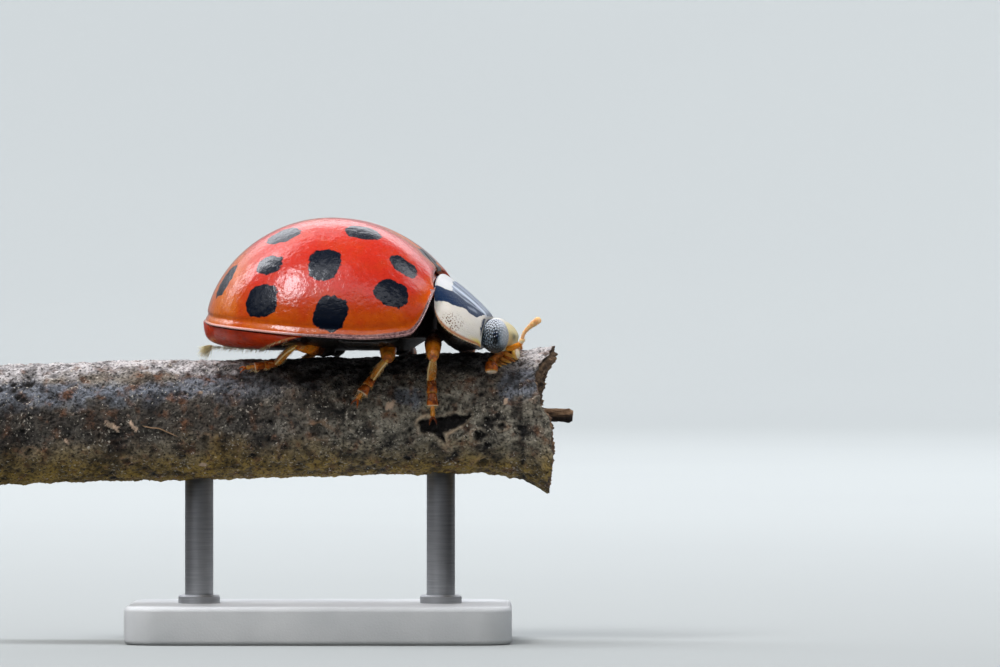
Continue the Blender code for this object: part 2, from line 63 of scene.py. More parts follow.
Points = np.ndarray
Socket = bpy.types.NodeSocket
Material = bpy.types.Material
NodeTree = bpy.types.NodeTree
Draw = np.random.RandomState
Layers = tuple[Socket, Socket | None, Socket | None]
Colour = Socket | str
Triple = tuple[float, float, float]
Pair = tuple[float, float]


class Side(Enum):
    """A side of the beetle, by the sign of y there."""

    LEFT = 1
    RIGHT = -1

    @property
    def word(self) -> str:
        """The side's name in the names of nodes and pieces."""
        return self.name.lower()


class Ends(Enum):
    """The end rows of a grid that one face fills, each with the order of its points."""

    OPEN = ()
    FIRST = ((0, -1),)
    BOTH = ((0, -1), (-1, 1))


# ---- arithmetic

def to_linear(code: str) -> tuple[float, float, float, float]:
    """Turn an sRGB hex colour into the linear colour that a shader takes."""
    parts = [int(code[i:i + 2], 16) / 255 for i in (1, 3, 5)]
    linear = [p / 12.92 if p <= 0.04045 else ((p + 0.055) / 1.055) ** 2.4 for p in parts]
    return (*linear, 1.0)


def shares(count: int) -> Points:
    """Even steps from 0 to 1."""
    return np.linspace(0.0, 1.0, count)


def circle(count: int) -> Points:
    """Angles all round."""
    return np.linspace(0.0, 2 * pi, count, endpoint=False)


def xyz(x: Points, y: Points, z: Points) -> Points:
    """Places from their three numbers."""
    return np.stack(np.broadcast_arrays(x, y, z), -1)


def per_metre(size: float) -> float:
    """The texture scale that gives one feature each size millimetres."""
    return 1.0 / (size * MM)


def ease(value: Points, low: float, high: float) -> Points:
    """Rise smoothly from 0 at low to 1 at high."""
    share = np.clip((np.asarray(value, float) - low) / (high - low), 0.0, 1.0)
    return share * share * (3.0 - 2.0 * share)


def bell(value: Points, middle: float, width: float) -> Points:
    """A bell-shaped bump of height 1 around a middle."""
    return np.exp(-(((np.asarray(value, float) - middle) / width) ** 2))


def unit(vectors: Points) -> Points:
    """Scale vectors to length one."""
    vectors = np.asarray(vectors, float)
    return vectors / np.maximum(np.linalg.norm(vectors, axis=-1, keepdims=True), 1e-12)


def smooth_route(stops: Sequence[Sequence[float]], count: int) -> Points:
    """Read points evenly from a Catmull-Rom curve through a few stops."""
    stops = np.asarray(stops, float)
    padded = np.vstack([2 * stops[0] - stops[1], stops, 2 * stops[-1] - stops[-2]])
    place = np.linspace(0.0, len(stops) - 1, count)
    first = np.minimum(place.astype(int), len(stops) - 2)
    t = (place - first)[:, None]
    a, b, c, d = (padded[first + k] for k in range(4))
    bend, twist = 2 * a - 5 * b + 4 * c - d, 3 * b - a - 3 * c + d
    return 0.5 * (2 * b + (c - a) * t + bend * t ** 2 + twist * t ** 3)


def rough(points: Points, size: float, octaves: int = 3, shift: float = 0.0) -> Points:
    """Fractal noise at each point."""
    flat = points.reshape(-1, 3) / size + shift
    made = [noise.fractal(Vector(p), 0.9, 2.1, octaves) for p in flat]
    return np.array(made).reshape(points.shape[:-1])


def out_of(route: Points, k: int, turn: float, hint: Sequence[float]) -> tuple[Points, Points]:
    """The way along a route at one of its points, and a way out of it there."""
    ahead = unit(route[k + 1] - route[k - 1])
    across = unit(np.cross(ahead, hint))
    return ahead, across * cos(turn) + np.cross(ahead, across) * sin(turn)


def stroke(x: Points, y: Points, stops: Sequence[Triple]) -> Points:
    """Signed distance from places on a plane to a stroke of changing width."""
    nearest = np.full(np.shape(x), 1e9)
    for (ax, ay, ar), (bx, by, br) in zip(stops, stops[1:]):
        dx, dy = bx - ax, by - ay
        t = np.clip(((x - ax) * dx + (y - ay) * dy) / (dx * dx + dy * dy), 0.0, 1.0)
        reach = np.hypot(x - ax - t * dx, y - ay - t * dy) - (ar + (br - ar) * t)
        nearest = np.minimum(nearest, reach)
    return nearest


# ---- meshes

@dataclass(frozen=True)
class Place:
    """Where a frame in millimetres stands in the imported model."""

    origin: Triple = (0.0, 0.0, 0.0)
    yaw: float = 0.0

    def world(self, points: Points) -> Points:
        """Turn points of this frame into millimetres of the model's frame."""
        c, s = cos(self.yaw), sin(self.yaw)
        x, y, z = np.moveaxis(np.asarray(points, float), -1, 0)
        return xyz(x * c - y * s, x * s + y * c, z) + np.array(self.origin)

    def local(self, points: Points) -> Points:
        """Turn millimetres of the model's frame into points of this frame."""
        c, s = cos(self.yaw), sin(self.yaw)
        x, y, z = np.moveaxis(np.asarray(points, float) - np.array(self.origin), -1, 0)
        return xyz(x * c + y * s, y * c - x * s, z)


@dataclass
class Draft:
    """A mesh being drawn in millimetres out of grids, tubes and balls."""

    place: Place = Place()
    points: list[Points] = field(default_factory=list)
    faces: list[list[int]] = field(default_factory=list)
    slots: list[int] = field(default_factory=list)
    marks: list[tuple[int, int, dict[str, Points]]] = field(default_factory=list)
    count: int = 0

    def grid(self, points: Points, ends: Ends = Ends.OPEN, slot: int = 0, **marks: Points) -> None:
        """Add a grid of points that goes round, and the quads between them.

        Args:
            points: rows of columns of places.
            ends: the end rows to fill with one face.
            slot: index of the material of its faces.
            marks: numbers to keep at each point, by name.
        """
        rows, columns = points.shape[:2]
        index = self.count + np.arange(rows * columns).reshape(rows, columns)
        wide = np.hstack([index, index[:, :1]])
        quads = np.stack([wide[:-1, :-1], wide[:-1, 1:], wide[1:, 1:], wide[1:, :-1]], -1)
        made = quads.reshape(-1, 4).tolist()
        made += [index[row, ::order].tolist() for row, order in ends.value]
        self.points.append(points.reshape(-1, 3))
        self.faces += made
        self.slots.extend([slot] * len(made))
        kept = {name: np.broadcast_to(value, (rows, columns)).ravel() for name, value in marks.items()}
        self.marks.append((self.count, rows * columns, kept))
        self.count += rows * columns

    def tube(self, route: Points, radii: Points, sides: int = 14, flat: float = 1.0,
             up: Sequence[float] = (0.0, 0.0, 1.0), slot: int = 0, **marks: Points) -> None:
        """Add a closed tube along a route.

        Args:
            route: the middle of each ring.
            radii: radius of each ring across the up direction.
            sides: points in a ring.
            flat: thickness along the up direction, as a share of the radius.
            up: the direction in which the tube is flattened.
            slot: index of the material of its faces.
            marks: a number for each ring, by name.
        """
        route = np.asarray(route, float)
        ahead = unit(np.gradient(route, axis=0))
        across = unit(np.cross(ahead, np.asarray(up, float)))
        above = np.cross(across, ahead)
        turn = circle(sides)
        radii = np.asarray(radii, float)[:, None, None]
        out, up = across[:, None] * np.cos(turn)[:, None], above[:, None] * (flat * np.sin(turn))[:, None]
        body = route[:, None] + radii * (out + up)
        caps = [np.repeat(route[k][None, None], sides, 1) for k in (0, -1)]
        body = np.concatenate([caps[0], body, caps[1]])
        kept = {}
        for name, value in marks.items():
            value = np.broadcast_to(value, len(route)).astype(float)
            kept[name] = np.concatenate([value[:1], value, value[-1:]])[:, None]
        self.grid(body, slot=slot, **kept)

    def ball(self, centre: Sequence[float], half: Sequence[float], turn: Matrix | None = None,
             rings: int = 20, sides: int = 28, **marks: Points) -> None:
        """Add a ball with three half sizes.

        Args:
            centre: its middle.
            half: its three half sizes.
            turn: how it is turned.
            rings: rows from pole to pole.
            sides: points in a ring.
            marks: numbers kept at its points, by name.
        """
        shape = sphere(rings, sides) * np.asarray(half, float)
        if turn is not None:
            shape = shape @ np.array(turn.to_3x3()).T
        self.grid(shape + np.asarray(centre, float), **marks)

    def mesh(self, name: str, slot: str, sharp: float = 50.0) -> bpy.types.Mesh:
        """Weld the draft into a mesh, in metres, with the materials of a slot.

        Args:
            name: the mesh's name.
            slot: the record's slot; a face's slot counts its materials.
            sharp: faces that meet at more than this many degrees keep a hard edge.

        Returns:
            The new mesh.
        """
        mesh = bpy.data.meshes.new(name)
        world = self.place.world(np.concatenate(self.points)) * MM
        mesh.from_pydata(world.tolist(), [], self.faces)
        mesh.polygons.foreach_set("material_index", self.slots)
        for mark in sorted({key for _, _, kept in self.marks for key in kept}):
            values = np.zeros(self.count)
            for start, size, kept in self.marks:
                if mark in kept:
                    values[start:start + size] = kept[mark]
            mesh.attributes.new(mark, "FLOAT", "POINT").data.foreach_set("value", values)
        solid = bmesh.new()
        solid.from_mesh(mesh)
        bmesh.ops.remove_doubles(solid, verts=solid.verts, dist=0.0002 * MM)
        bmesh.ops.dissolve_degenerate(solid, edges=solid.edges, dist=0.0001 * MM)
        bmesh.ops.recalc_face_normals(solid, faces=solid.faces)
        solid.to_mesh(mesh)
        solid.free()
        for material in covers()[slot]:
            mesh.materials.append(material)
        mesh.shade_smooth()
        mesh.set_sharp_from_angle(angle=radians(sharp))
        return mesh

    def piece(self, name: str, slot: str, stands_for: Iterable[str] = (), sharp: float = 50.0) -> None:
        """Hand the draft over as a piece that stands for some CAD nodes."""
        hand_over(name, self.mesh(name, slot, sharp), slot, stands_for)


def sphere(rings: int, sides: int) -> Points:
    """Rows of unit directions from the +x pole to the -x pole."""
    down = np.linspace(0.0, pi, rings + 1)[:, None]
    turn = circle(sides)[None, :]
    return xyz(np.cos(down), np.sin(down) * np.cos(turn), np.sin(down) * np.sin(turn))


def put(name: str, data: bpy.types.ID) -> bpy.types.Object:
    """Put a mesh, a light or a camera in the scene."""
    item = bpy.data.objects.new(name, data)
    bpy.context.scene.collection.objects.link(item)
    return item


def hand_over(name: str, mesh: bpy.types.Mesh, slot: str, stands_for: Iterable[str] = ()) -> None:
    """Put a mesh in the scene as a piece that rides on the model's one body."""
    item = put(name, mesh)
    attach(item, BODY)
    if stands_for:
        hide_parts(*stands_for)
    LOG.info("%s: %d faces, %s", name, len(mesh.polygons), slot)


@dataclass
class Bristles:
    """Hairs on the cuticle, as tapered solids with a patch of the unwrap at each root."""

    place: Place
    patch: float = 0.003
    rings: int = 4
    sides: int = 3
    points: list[Points] = field(default_factory=list)
    patches: list[Points] = field(default_factory=list)

    def add(self, root: Points, heading: Points, length: float, radius: float, spot: Pair,
            droop: float = 0.25) -> None:
        """Add one hair.

        Args:
            root: where it leaves the skin.
            heading: the direction in which it starts.
            length: its length.
            radius: its radius at the root.
            spot: its root's place on the skin's unwrap.
            droop: how far its tip bends down, as a share of its length.
        """
        root = np.asarray(root, float)
        heading = unit(heading)
        across = unit(np.cross(heading, (0.31, 0.17, 0.93)))
        above = np.cross(across, heading)
        along = shares(self.rings)
        turn = np.arange(self.sides) * 2 * pi / self.sides
        middle = root + heading * length * along[:, None]
        middle[:, 2] -= droop * length * along ** 2
        thick = radius * (1.0 - 0.88 * along)[:, None, None]
        ring = across[None] * np.cos(turn)[:, None] + above[None] * np.sin(turn)[:, None]
        self.points.append(middle[:, None] + thick * ring[None])
        u = spot[0] + self.patch * np.arange(self.sides + 1) / self.sides
        v = spot[1] + self.patch * along
        self.patches.append(np.stack(np.broadcast_arrays(u[None, :], v[:, None]), -1))

    def piece(self, name: str, slot: str, cover: str = "setae") -> None:
        """Hand the hairs over as one piece that takes its finish from cover.

        Args:
            name: the piece's name.
            slot: the record's material slot, which is only logged.
            cover: the hairs' finish.
        """
        faces, corners = [], []
        size = self.rings * self.sides
        for hair, patch in enumerate(self.patches):
            for i in range(self.rings - 1):
                for j in range(self.sides):
                    k = (j + 1) % self.sides
                    base = hair * size + i * self.sides
                    faces.append((base + j, base + k, base + self.sides + k, base + self.sides + j))
                    corners += [patch[i, j], patch[i, j + 1], patch[i + 1, j + 1], patch[i + 1, j]]
            for i, order in ((0, -1), (self.rings - 1, 1)):
                base = hair * size + i * self.sides
                faces.append(tuple(range(base, base + self.sides))[::order])
                corners += [patch[i, j] for j in range(self.sides)][::order]
        mesh = bpy.data.meshes.new(name)
        world = self.place.world(np.concatenate(self.points).reshape(-1, 3)) * MM
        mesh.from_pydata(world.tolist(), [], faces)
        layer = mesh.uv_layers.new(name="OFBake")
        layer.data.foreach_set("uv", np.array(corners).ravel())
        mesh.materials.append(covers()[cover][0])
        mesh.shade_smooth()
        hand_over(name, mesh, slot)


# ---- finishes

def add(tree: NodeTree, kind: str, feeds: dict[str | int, object] | None = None, out: str | int = 0,
        **settings: object) -> Socket:
    """Add a shader node with its settings and links, and take one of its outputs."""
    made = tree.nodes.new(f"ShaderNode{kind}")
    for name, value in settings.items():
        setattr(made, name, value)
    for key, value in (feeds or {}).items():
        if isinstance(value, bpy.types.NodeSocket):
            tree.links.new(value, made.inputs[key])
        else:
            made.inputs[key].default_value = value
    return made.outputs[out]


@dataclass(frozen=True)
class Finish:
    """A real material and how its surface was made; each kind says how its nodes are laid."""

    name: str
    roughness: float = 0.4
    ior: float = 1.54
    specular: float = 0.5
    coat: float = 0.0
    coat_roughness: float = 0.06
    coat_ripple: float = 0.0
    depth: float = 0.0
    glow_through: float = 0.0

    def make(self) -> Material:
        """Make the material.

        Returns:
            The material.
        """
        made = bpy.data.materials.new(self.name)
        made.use_nodes = True
        tree = made.node_tree
        shader = tree.nodes["Principled BSDF"]
        values = {"IOR": self.ior, "Roughness": self.roughness, "Specular IOR Level": self.specular,
                  "Coat Weight": self.coat, "Coat Roughness": self.coat_roughness,
                  "Subsurface Weight": self.glow_through, "Subsurface Radius": (1.0, 0.45, 0.16),
                  "Subsurface Scale": 0.12 * MM}
        for name, value in values.items():
            shader.inputs[name].default_value = value
        where = add(tree, "TexCoord", out="Object")
        if self.coat_ripple:
            ripple = add(tree, "Bump", {"Height": grain(tree, where, 0.17, 4.0),
                                        "Distance": self.coat_ripple * MM})
            tree.links.new(ripple, shader.inputs["Coat Normal"])
        colour, height, roughness = self.lay(tree, where)
        tree.links.new(colour, shader.inputs["Base Color"])
        if height is not None:
            bump = add(tree, "Bump", {"Height": height, "Distance": self.depth * MM})
            tree.links.new(bump, shader.inputs["Normal"])
        if roughness is not None:
            tree.links.new(roughness, shader.inputs["Roughness"])
        return made

    def lay(self, tree: NodeTree, where: Socket) -> Layers:
        """Lay the nodes of colour, height and roughness.

        Args:
            tree: the material's nodes.
            where: places on the piece.

        Returns:
            The sockets of colour, height and roughness; a height or roughness may be None.
        """
        raise NotImplementedError


def grain(tree: NodeTree, where: Socket, size: float, detail: float = 3.0, low: float = 0.0,
          high: float = 1.0) -> Socket:
    """Noise with lumps of a real size, spread over a range.

    Args:
        tree: the material's nodes.
        where: places on the piece.
        size: size of a lump.
        detail: how many finer noises lie over it.
        low: its least value.
        high: its greatest.

    Returns:
        The noise's socket.
    """
    made = add(tree, "TexNoise", {"Vector": where, "Scale": per_metre(size), "Detail": detail})
    spread = add(tree, "MapRange", {0: made, 1: 0.3, 2: 0.7, 3: low, 4: high})
    return spread


def pits(tree: NodeTree, where: Socket, spacing: float, size: float) -> Socket:
    """Round pits, 0 in their middles and 1 between them."""
    cells = add(tree, "TexVoronoi", {"Vector": where, "Scale": per_metre(spacing)})
    shape = add(tree, "MapRange", {0: cells, 1: size * 0.3, 2: size}, interpolation_type="SMOOTHSTEP")
    return shape


def coats(tree: NodeTree, ground: Colour, *layers: tuple[Colour | float, Colour]) -> Socket:
    """Lay colours over one another; a share given as text is a mark kept on the mesh."""
    for share, colour in layers:
        if isinstance(share, str):
            share = add(tree, "Attribute", attribute_name=share, out="Fac")
        under, over = (to_linear(c) if isinstance(c, str) else c for c in (ground, colour))
        ground = add(tree, "Mix", {0: share, 6: under, 7: over}, data_type="RGBA", out=2)
    return ground


def drawn(tree: NodeTree, mark: str, wobble: Socket | float, edge: float) -> Socket:
    """Fill the inside of a marking kept on the mesh as a signed distance."""
    kept = add(tree, "Attribute", attribute_name=mark, out="Fac")
    moved = add(tree, "Math", {0: kept, 1: wobble}, operation="ADD")
    return add(tree, "MapRange", {0: moved, 1: edge, 2: -edge})


@dataclass(frozen=True)
class WingCaseChitin(Finish):
    """Sclerotised chitin of a wing case, smooth under a layer of wax, with fine punctures.

    It gives a deep saturated red, clear reflections in the wax and a soft haze under them.
    """

    name: str = "chitin_waxed_wing_case"
    roughness: float = 0.3
    specular: float = 0.1
    coat: float = 1.0
    coat_ripple: float = 0.008
    depth: float = 0.0035
    rim_pale: str = "#d9aaa2"

    def lay(self, tree: NodeTree, where: Socket) -> Layers:
        """Red that warms to orange at the edges, partly as painted light along the seam and shoulder, navy
        spots and a pale pitted rim with a painted highlight at its rear.
        """
        # Part of the orange is painted light: along the seam and at the shoulder it stands for green
        # surroundings lighting the silhouette.
        warm = add(tree, "Attribute", attribute_name="warm", out="Fac")
        cloud = grain(tree, where, 0.55, 4.0, -0.16, 0.16)
        warmth = add(tree, "Math", {0: warm, 1: cloud}, operation="ADD", use_clamp=True)
        first = add(tree, "MapRange", {0: warmth, 1: 0.0, 2: 0.5})
        second = add(tree, "MapRange", {0: warmth, 1: 0.45, 2: 1.0})
        mottle = grain(tree, where, 0.12, 5.0, 0.0, 0.3)
        spot = drawn(tree, "spot", grain(tree, where, 0.18, 3.0, -0.04, 0.04), 0.012)
        ground = coats(tree, "#bd2916", (first, "#b84006"), (second, "#c46400"), (mottle, "#8e1206"),
                       (spot, "#020a19"))
        pitted = grain(tree, where, 0.05, 3.0, 0.0, 0.5)
        # Towards the rear the whole rim turns pale: a painted highlight along its bead.
        edge = coats(tree, "#4f3237", (pitted, self.rim_pale), ("rim_light", self.rim_pale))
        colour = coats(tree, ground, ("rim", edge))
        punctures = pits(tree, where, 0.085, 0.34)
        fine = grain(tree, where, 0.03, 2.0, 0.0, 0.25)
        height = add(tree, "Math", {0: punctures, 1: fine}, operation="ADD")
        return colour, height, grain(tree, where, 0.09, 2.0, self.roughness - 0.06, self.roughness + 0.08)


@dataclass(frozen=True)
class CreamCuticle(Finish):
    """Pale cuticle of pronotum and head, grown smooth, with fine brown-floored punctures.

    It gives a warm off-white that light enters a little, under a low satin gloss.
    """

    name: str = "cuticle_cream_punctured"
    roughness: float = 0.38
    specular: float = 0.1
    coat: float = 0.15
    coat_roughness: float = 0.14
    depth: float = 0.004
    glow_through: float = 0.12

    def lay(self, tree: NodeTree, where: Socket) -> Layers:
        """Cream with pores, a black marking lit grey and silver by painted reflection, an amber margin and a
        yellow-green front.
        """
        cloud = grain(tree, where, 0.35, 3.0, 0.0, 0.6)
        ground = coats(tree, "#c6c0b5", (cloud, "#b7b2a9"), ("frons", "#bfb07a"))
        punctures = pits(tree, where, 0.05, 0.5)
        pore = add(tree, "MapRange", {0: punctures, 1: 0.75, 2: 0.45})
        speckle = add(tree, "Attribute", attribute_name="speckle", out="Fac")
        share = add(tree, "MapRange", {0: speckle, 3: 0.04, 4: 1.0})
        pore = add(tree, "Math", {0: pore, 1: share}, operation="MULTIPLY")
        ground = coats(tree, ground, (pore, "#5f4130"), ("smudge", "#6d6a55"), ("front", "#c3ae3c"),
                       ("margin", "#a86f4c"))
        marking = drawn(tree, "marking", grain(tree, where, 0.12, 3.0, -0.02, 0.02), 0.012)
        # The last layer is painted reflection: it lightens the navy marking to grey and silver.
        colour = coats(tree, ground, (marking, "#06213f"), ("sheen", "#b4bdc9"))
        fine = grain(tree, where, 0.03, 2.0, 0.0, 0.3)
        height = add(tree, "Math", {0: punctures, 1: fine}, operation="ADD")
        return colour, height, grain(tree, where, 0.08, 2.0, self.roughness - 0.05, self.roughness + 0.1)


@dataclass(frozen=True)
class DarkCuticle(Finish):
    """Hard pigmented cuticle of the underside, densely punctured.

    It gives a near black with small sparkles where the punctures' edges catch the light.
    """

    name: str = "cuticle_black_punctured"
    roughness: float = 0.34
    coat: float = 0.3
    coat_roughness: float = 0.15
    depth: float = 0.01
    spacing: float = 0.07

    def lay(self, tree: NodeTree, where: Socket) -> Layers:
        """Two close tones, darker in the punctures."""
        punctures = pits(tree, where, self.spacing, 0.5)
        tone = grain(tree, where, 0.25)
        colour = coats(tree, "#0b0b0d", (tone, "#1d1712"), ("pale", "#c8a06a"))
        return colour, punctures, grain(tree, where, 0.06, 2.0, self.roughness - 0.08, self.roughness + 0.15)


@dataclass(frozen=True)
class FacetedEye(Finish):
    """Compound eye: clear chitin lenses over a black pigment.

    It gives a dark slate ball, glossy, with a grain of tiny highlights, one in each lens.
    """

    name: str = "chitin_eye_lenses"
    roughness: float = 0.2
    ior: float = 1.56
    coat: float = 1.0
    coat_roughness: float = 0.1
    depth: float = 0.003

    def lay(self, tree: NodeTree, where: Socket) -> Layers:
        """Slate lenses over black seams, browner low down, with painted highlights on the top and the front.
        """
        cloud = grain(tree, where, 0.12)
        colour = coats(tree, "#34434f", (cloud, "#8794a0"), ("low", "#3a3428"), ("shine", "#c6ccd4"),
                       ("core", "#12294a"), ("pit", "#040806"))
        colour = coats(tree, "#080b0f", ("lens", colour))
        return colour, grain(tree, where, 0.02, 2.0), None


@dataclass(frozen=True)
class AmberCuticle(Finish):
    """Thin tanned cuticle of legs and mouthparts, clear enough for light to pass.

    It gives amber brown with golden edges, and darkens where the limb is thick.
    """

    name: str = "cuticle_amber_translucent"
    roughness: float = 0.3
    specular: float = 0.3
    coat: float = 0.35
    coat_roughness: float = 0.12
    depth: float = 0.006
    glow_through: float = 0.25
    amber: str = "#bd5f0a"
    deep: str = "#6a2e05"

    def lay(self, tree: NodeTree, where: Socket) -> Layers:
        """Amber that goes from deep to golden, and ivory or black where the limb says so."""
        cloud = grain(tree, where, 0.11, 3.0, -0.3, 1.3)
        # The dark layer is the own colour of claws, joints and lobe roots, and painted shade at a femur's
        # root.
        colour = coats(tree, self.deep, (cloud, self.amber), ("tan", "#d98414"), ("gold", "#d9a544"),
                       ("dark", "#150a05"), ("pale", "#e9dcc0"))
        fine = grain(tree, where, 0.035)
        return colour, fine, grain(tree, where, 0.05, 2.0, self.roughness - 0.08, self.roughness + 0.12)


@dataclass(frozen=True)
class BellyCuticle(Finish):
    """Tanned cuticle of the belly, in overlapping plates with a fine down.

    It gives a glossy deep red-brown with pale folded edges.
    """

    name: str = "cuticle_red_brown_plates"
    roughness: float = 0.3
    specular: float = 0.25
    coat: float = 0.4
    coat_roughness: float = 0.1
    depth: float = 0.003
    glow_through: float = 0.1

    def lay(self, tree: NodeTree, where: Socket) -> Layers:
        """Rust and brown, with seams."""
        cloud = grain(tree, where, 0.4, 4.0)
        colour = coats(tree, "#d43c04", (cloud, "#a62603"), ("dark", "#150704"), ("seam", "#c98d52"))
        return colour, pits(tree, where, 0.06, 0.4), grain(tree, where, 0.2, 3.0, 0.24, 0.4)


@dataclass(frozen=True)
class Bark(Finish):
    """Weathered outer bark of a dead twig.

    It gives a dry, rough grey-brown with pale grains. Its top is painted paler and bluish as sky light would
    make it, and its underside olive, partly its own tint and partly painted green bounce light.
    """

    name: str = "bark_weathered"
    roughness: float = 0.66
    specular: float = 0.4
    depth: float = 0.06
    dirt_and_hollow_shade: str = "#120f0c"

    def lay(self, tree: NodeTree, where: Socket) -> Layers:
        """Grey over brown, with painted shade in the hollows, dark blotches and specks, and pale crumbs on
        the grains.
        """
        raised = add(tree, "Attribute", attribute_name="raised", out="Fac")
        broad = grain(tree, where, 0.7, 5.0)
        # Painted light: the pale top and blue-grey patches stand for sky light, the dark band low on the
        # side for shade, and the olive underside partly for green light bounced from below.
        colour = coats(tree, "#544130", (broad, "#958e82"), ("pale_end", "#9c9584"), ("dusk", "#2b2824"),
                       ("under", "#a1822f"), ("over", "#d2cccb"), ("slate", "#777d88"))
        # Hollows of the relief are darkened: painted shade.
        hollow = add(tree, "MapRange", {0: raised, 1: 0.25, 2: -0.8})
        blotches = grain(tree, where, 0.4, 5.0, -0.7, 0.75)
        rusty = grain(tree, where, 0.28, 4.0, -1.2, 0.9)
        specks = grain(tree, where, 0.062, 6.0, -0.7, 1.0)
        colour = coats(tree, colour, (rusty, "#6e472c"), (hollow, self.dirt_and_hollow_shade), (blotches, self.dirt_and_hollow_shade),
                       (specks, self.dirt_and_hollow_shade))
        crumbs = add(tree, "TexNoise",
                     {"Vector": where, "Scale": per_metre(0.07), "Detail": 3.0, "Roughness": 0.6})
        thick = grain(tree, where, 0.6, 3.0, 0.71, 0.54)
        crumb = add(tree, "MapRange", {0: crumbs, 1: thick, 2: 0.72})
        crumb = add(tree, "Math", {0: crumb, 1: 0.75}, operation="MULTIPLY")
        # The near-black layer under the beetle is its painted shadow on the bark.
        colour = coats(tree, colour, (crumb, "#e2d9c8"), ("damp", "#0b0907"), ("peel", "#0c0908"),
                       ("lip", "#bfa88c"), ("lenticel", "#a08062"), ("flake", "#c4a890"))
        fine = grain(tree, where, 0.05, 4.0, 0.0, 0.5)
        crust = grain(tree, where, 0.16, 4.0, 0.0, 1.2)
        height = add(tree, "Math", {0: fine, 1: crust}, operation="ADD")
        return colour, height, grain(tree, where, 0.2, 3.0, self.roughness - 0.16, self.roughness + 0.14)


@dataclass(frozen=True)
class BrokenWood(Finish):
    """Dry wood, torn across its fibres or sawn.

    It gives a matt tan with darker rings round the pith and dirt in the torn fibres.
    """

    name: str = "wood_torn_and_sawn"
    roughness: float = 0.78
    depth: float = 0.02
    brown: str = "#5b4230"

    def lay(self, tree: NodeTree, where: Socket) -> Layers:
        """Rings and fibres."""
        fibre = grain(tree, where, 0.07, 4.0)
        torn = add(tree, "Math", {0: fibre, 1: 0.45}, operation="MULTIPLY")
        colour = coats(tree, "#a58463", ("ring", self.brown), (torn, self.brown), ("dirt", "#2a201a"))
        return colour, fibre, None


@dataclass(frozen=True)
class Hair(Finish):
    """Setae: hollow chitin hairs that taper to a point.

    They give a pale gold glint along the edges of the limbs.
    """

    name: str = "setae_golden"
    roughness: float = 0.35
    glow_through: float = 0.2
    root: str = "#c98a3a"
    tip: str = "#f0d9a8"

    def lay(self, tree: NodeTree, where: Socket) -> Layers:
        """A darker and a paler gold, from hair to hair."""
        tone = grain(tree, where, 0.08, 2.0)
        return coats(tree, self.root, (tone, self.tip)), None, None


@dataclass(frozen=True)
class SatinAcrylic(Finish):
    """Cast acrylic sheet, milled and rubbed down with fine abrasive paper.

    It gives an even pale grey with a soft reflection and a very fine grit.
    """

    name: str = "acrylic_rubbed_grey"
    roughness: float = 0.42
    ior: float = 1.49
    depth: float = 0.002

    def lay(self, tree: NodeTree, where: Socket) -> Layers:
        """Two close greys and a grit of 0.05 mm."""
        colour = coats(tree, "#c3c4c4", (grain(tree, where, 1.4, 4.0), "#b4b6b7"))
        return colour, grain(tree, where, 0.05), grain(tree, where, 0.3, 4.0, 0.36, 0.5)


@dataclass(frozen=True)
class TurnedSteel(Finish):
    """Stainless steel wire, turned and brushed round its axis.

    It gives rings of fine bright and dark lines that stretch the reflections along the rod.
    """

    name: str = "stainless_steel_turned"
    roughness: float = 0.3
    ior: float = 1.5
    depth: float = 0.0005

    def lay(self, tree: NodeTree, where: Socket) -> Layers:
        """Lines across the rod's length, 0.04 mm apart, drawn coarser than real ones to show."""
        tree.nodes["Principled BSDF"].inputs["Metallic"].default_value = 1.0
        squeeze = add(tree, "Mapping", {"Vector": where, "Scale": (0.05, 0.05, 1.0)})
        line = grain(tree, squeeze, 0.04)
        colour = coats(tree, "#c8c9cb", (line, "#b2b4b7"))
        return colour, line, add(tree, "MapRange", {0: line, 3: 0.42, 4: 0.52})


@dataclass(frozen=True)
class StudioPaper(Finish):
    """Matt seamless backdrop paper, pale grey."""

    name: str = "paper_seamless_pale"
    roughness: float = 0.95

    def lay(self, tree: NodeTree, where: Socket) -> Layers:
        """One pale grey with a trace of cloud."""
        tone = grain(tree, where, 60.0, 2.0, 0.0, 0.25)
        return coats(tree, "#919492", (tone, "#8b8e8d")), None, None


@cache
def covers() -> dict[str, list[Material]]:
    """Make every material, once; they are kept by the record's slots."""
    shared = (CreamCuticle, DarkCuticle, AmberCuticle, BrokenWood)
    cream, black, amber, wood = (finish().make() for finish in shared)
    apricot = AmberCuticle(name="cuticle_apricot_feeler", amber="#eec488", deep="#dca468", glow_through=0.3,
                           roughness=0.45, coat=0.1)
    down = Hair(name="setae_pale", root="#d9c687", tip="#f3ecc9")
    return {"wing_case": [WingCaseChitin().make()], "black_shell": [black], "pronotum": [cream],
            "head": [cream], "belly": [BellyCuticle().make()], "eye": [FacetedEye().make()],
            "amber": [amber], "feeler": [amber, apricot.make()], "setae": [Hair().make()],
            "down": [down.make()], "bark": [Bark().make(), wood], "wood": [wood],
            "stand_plate": [SatinAcrylic().make()], "stand_rod": [TurnedSteel().make()],
            "paper": [StudioPaper().make()]}


# ---- wing cases and shields

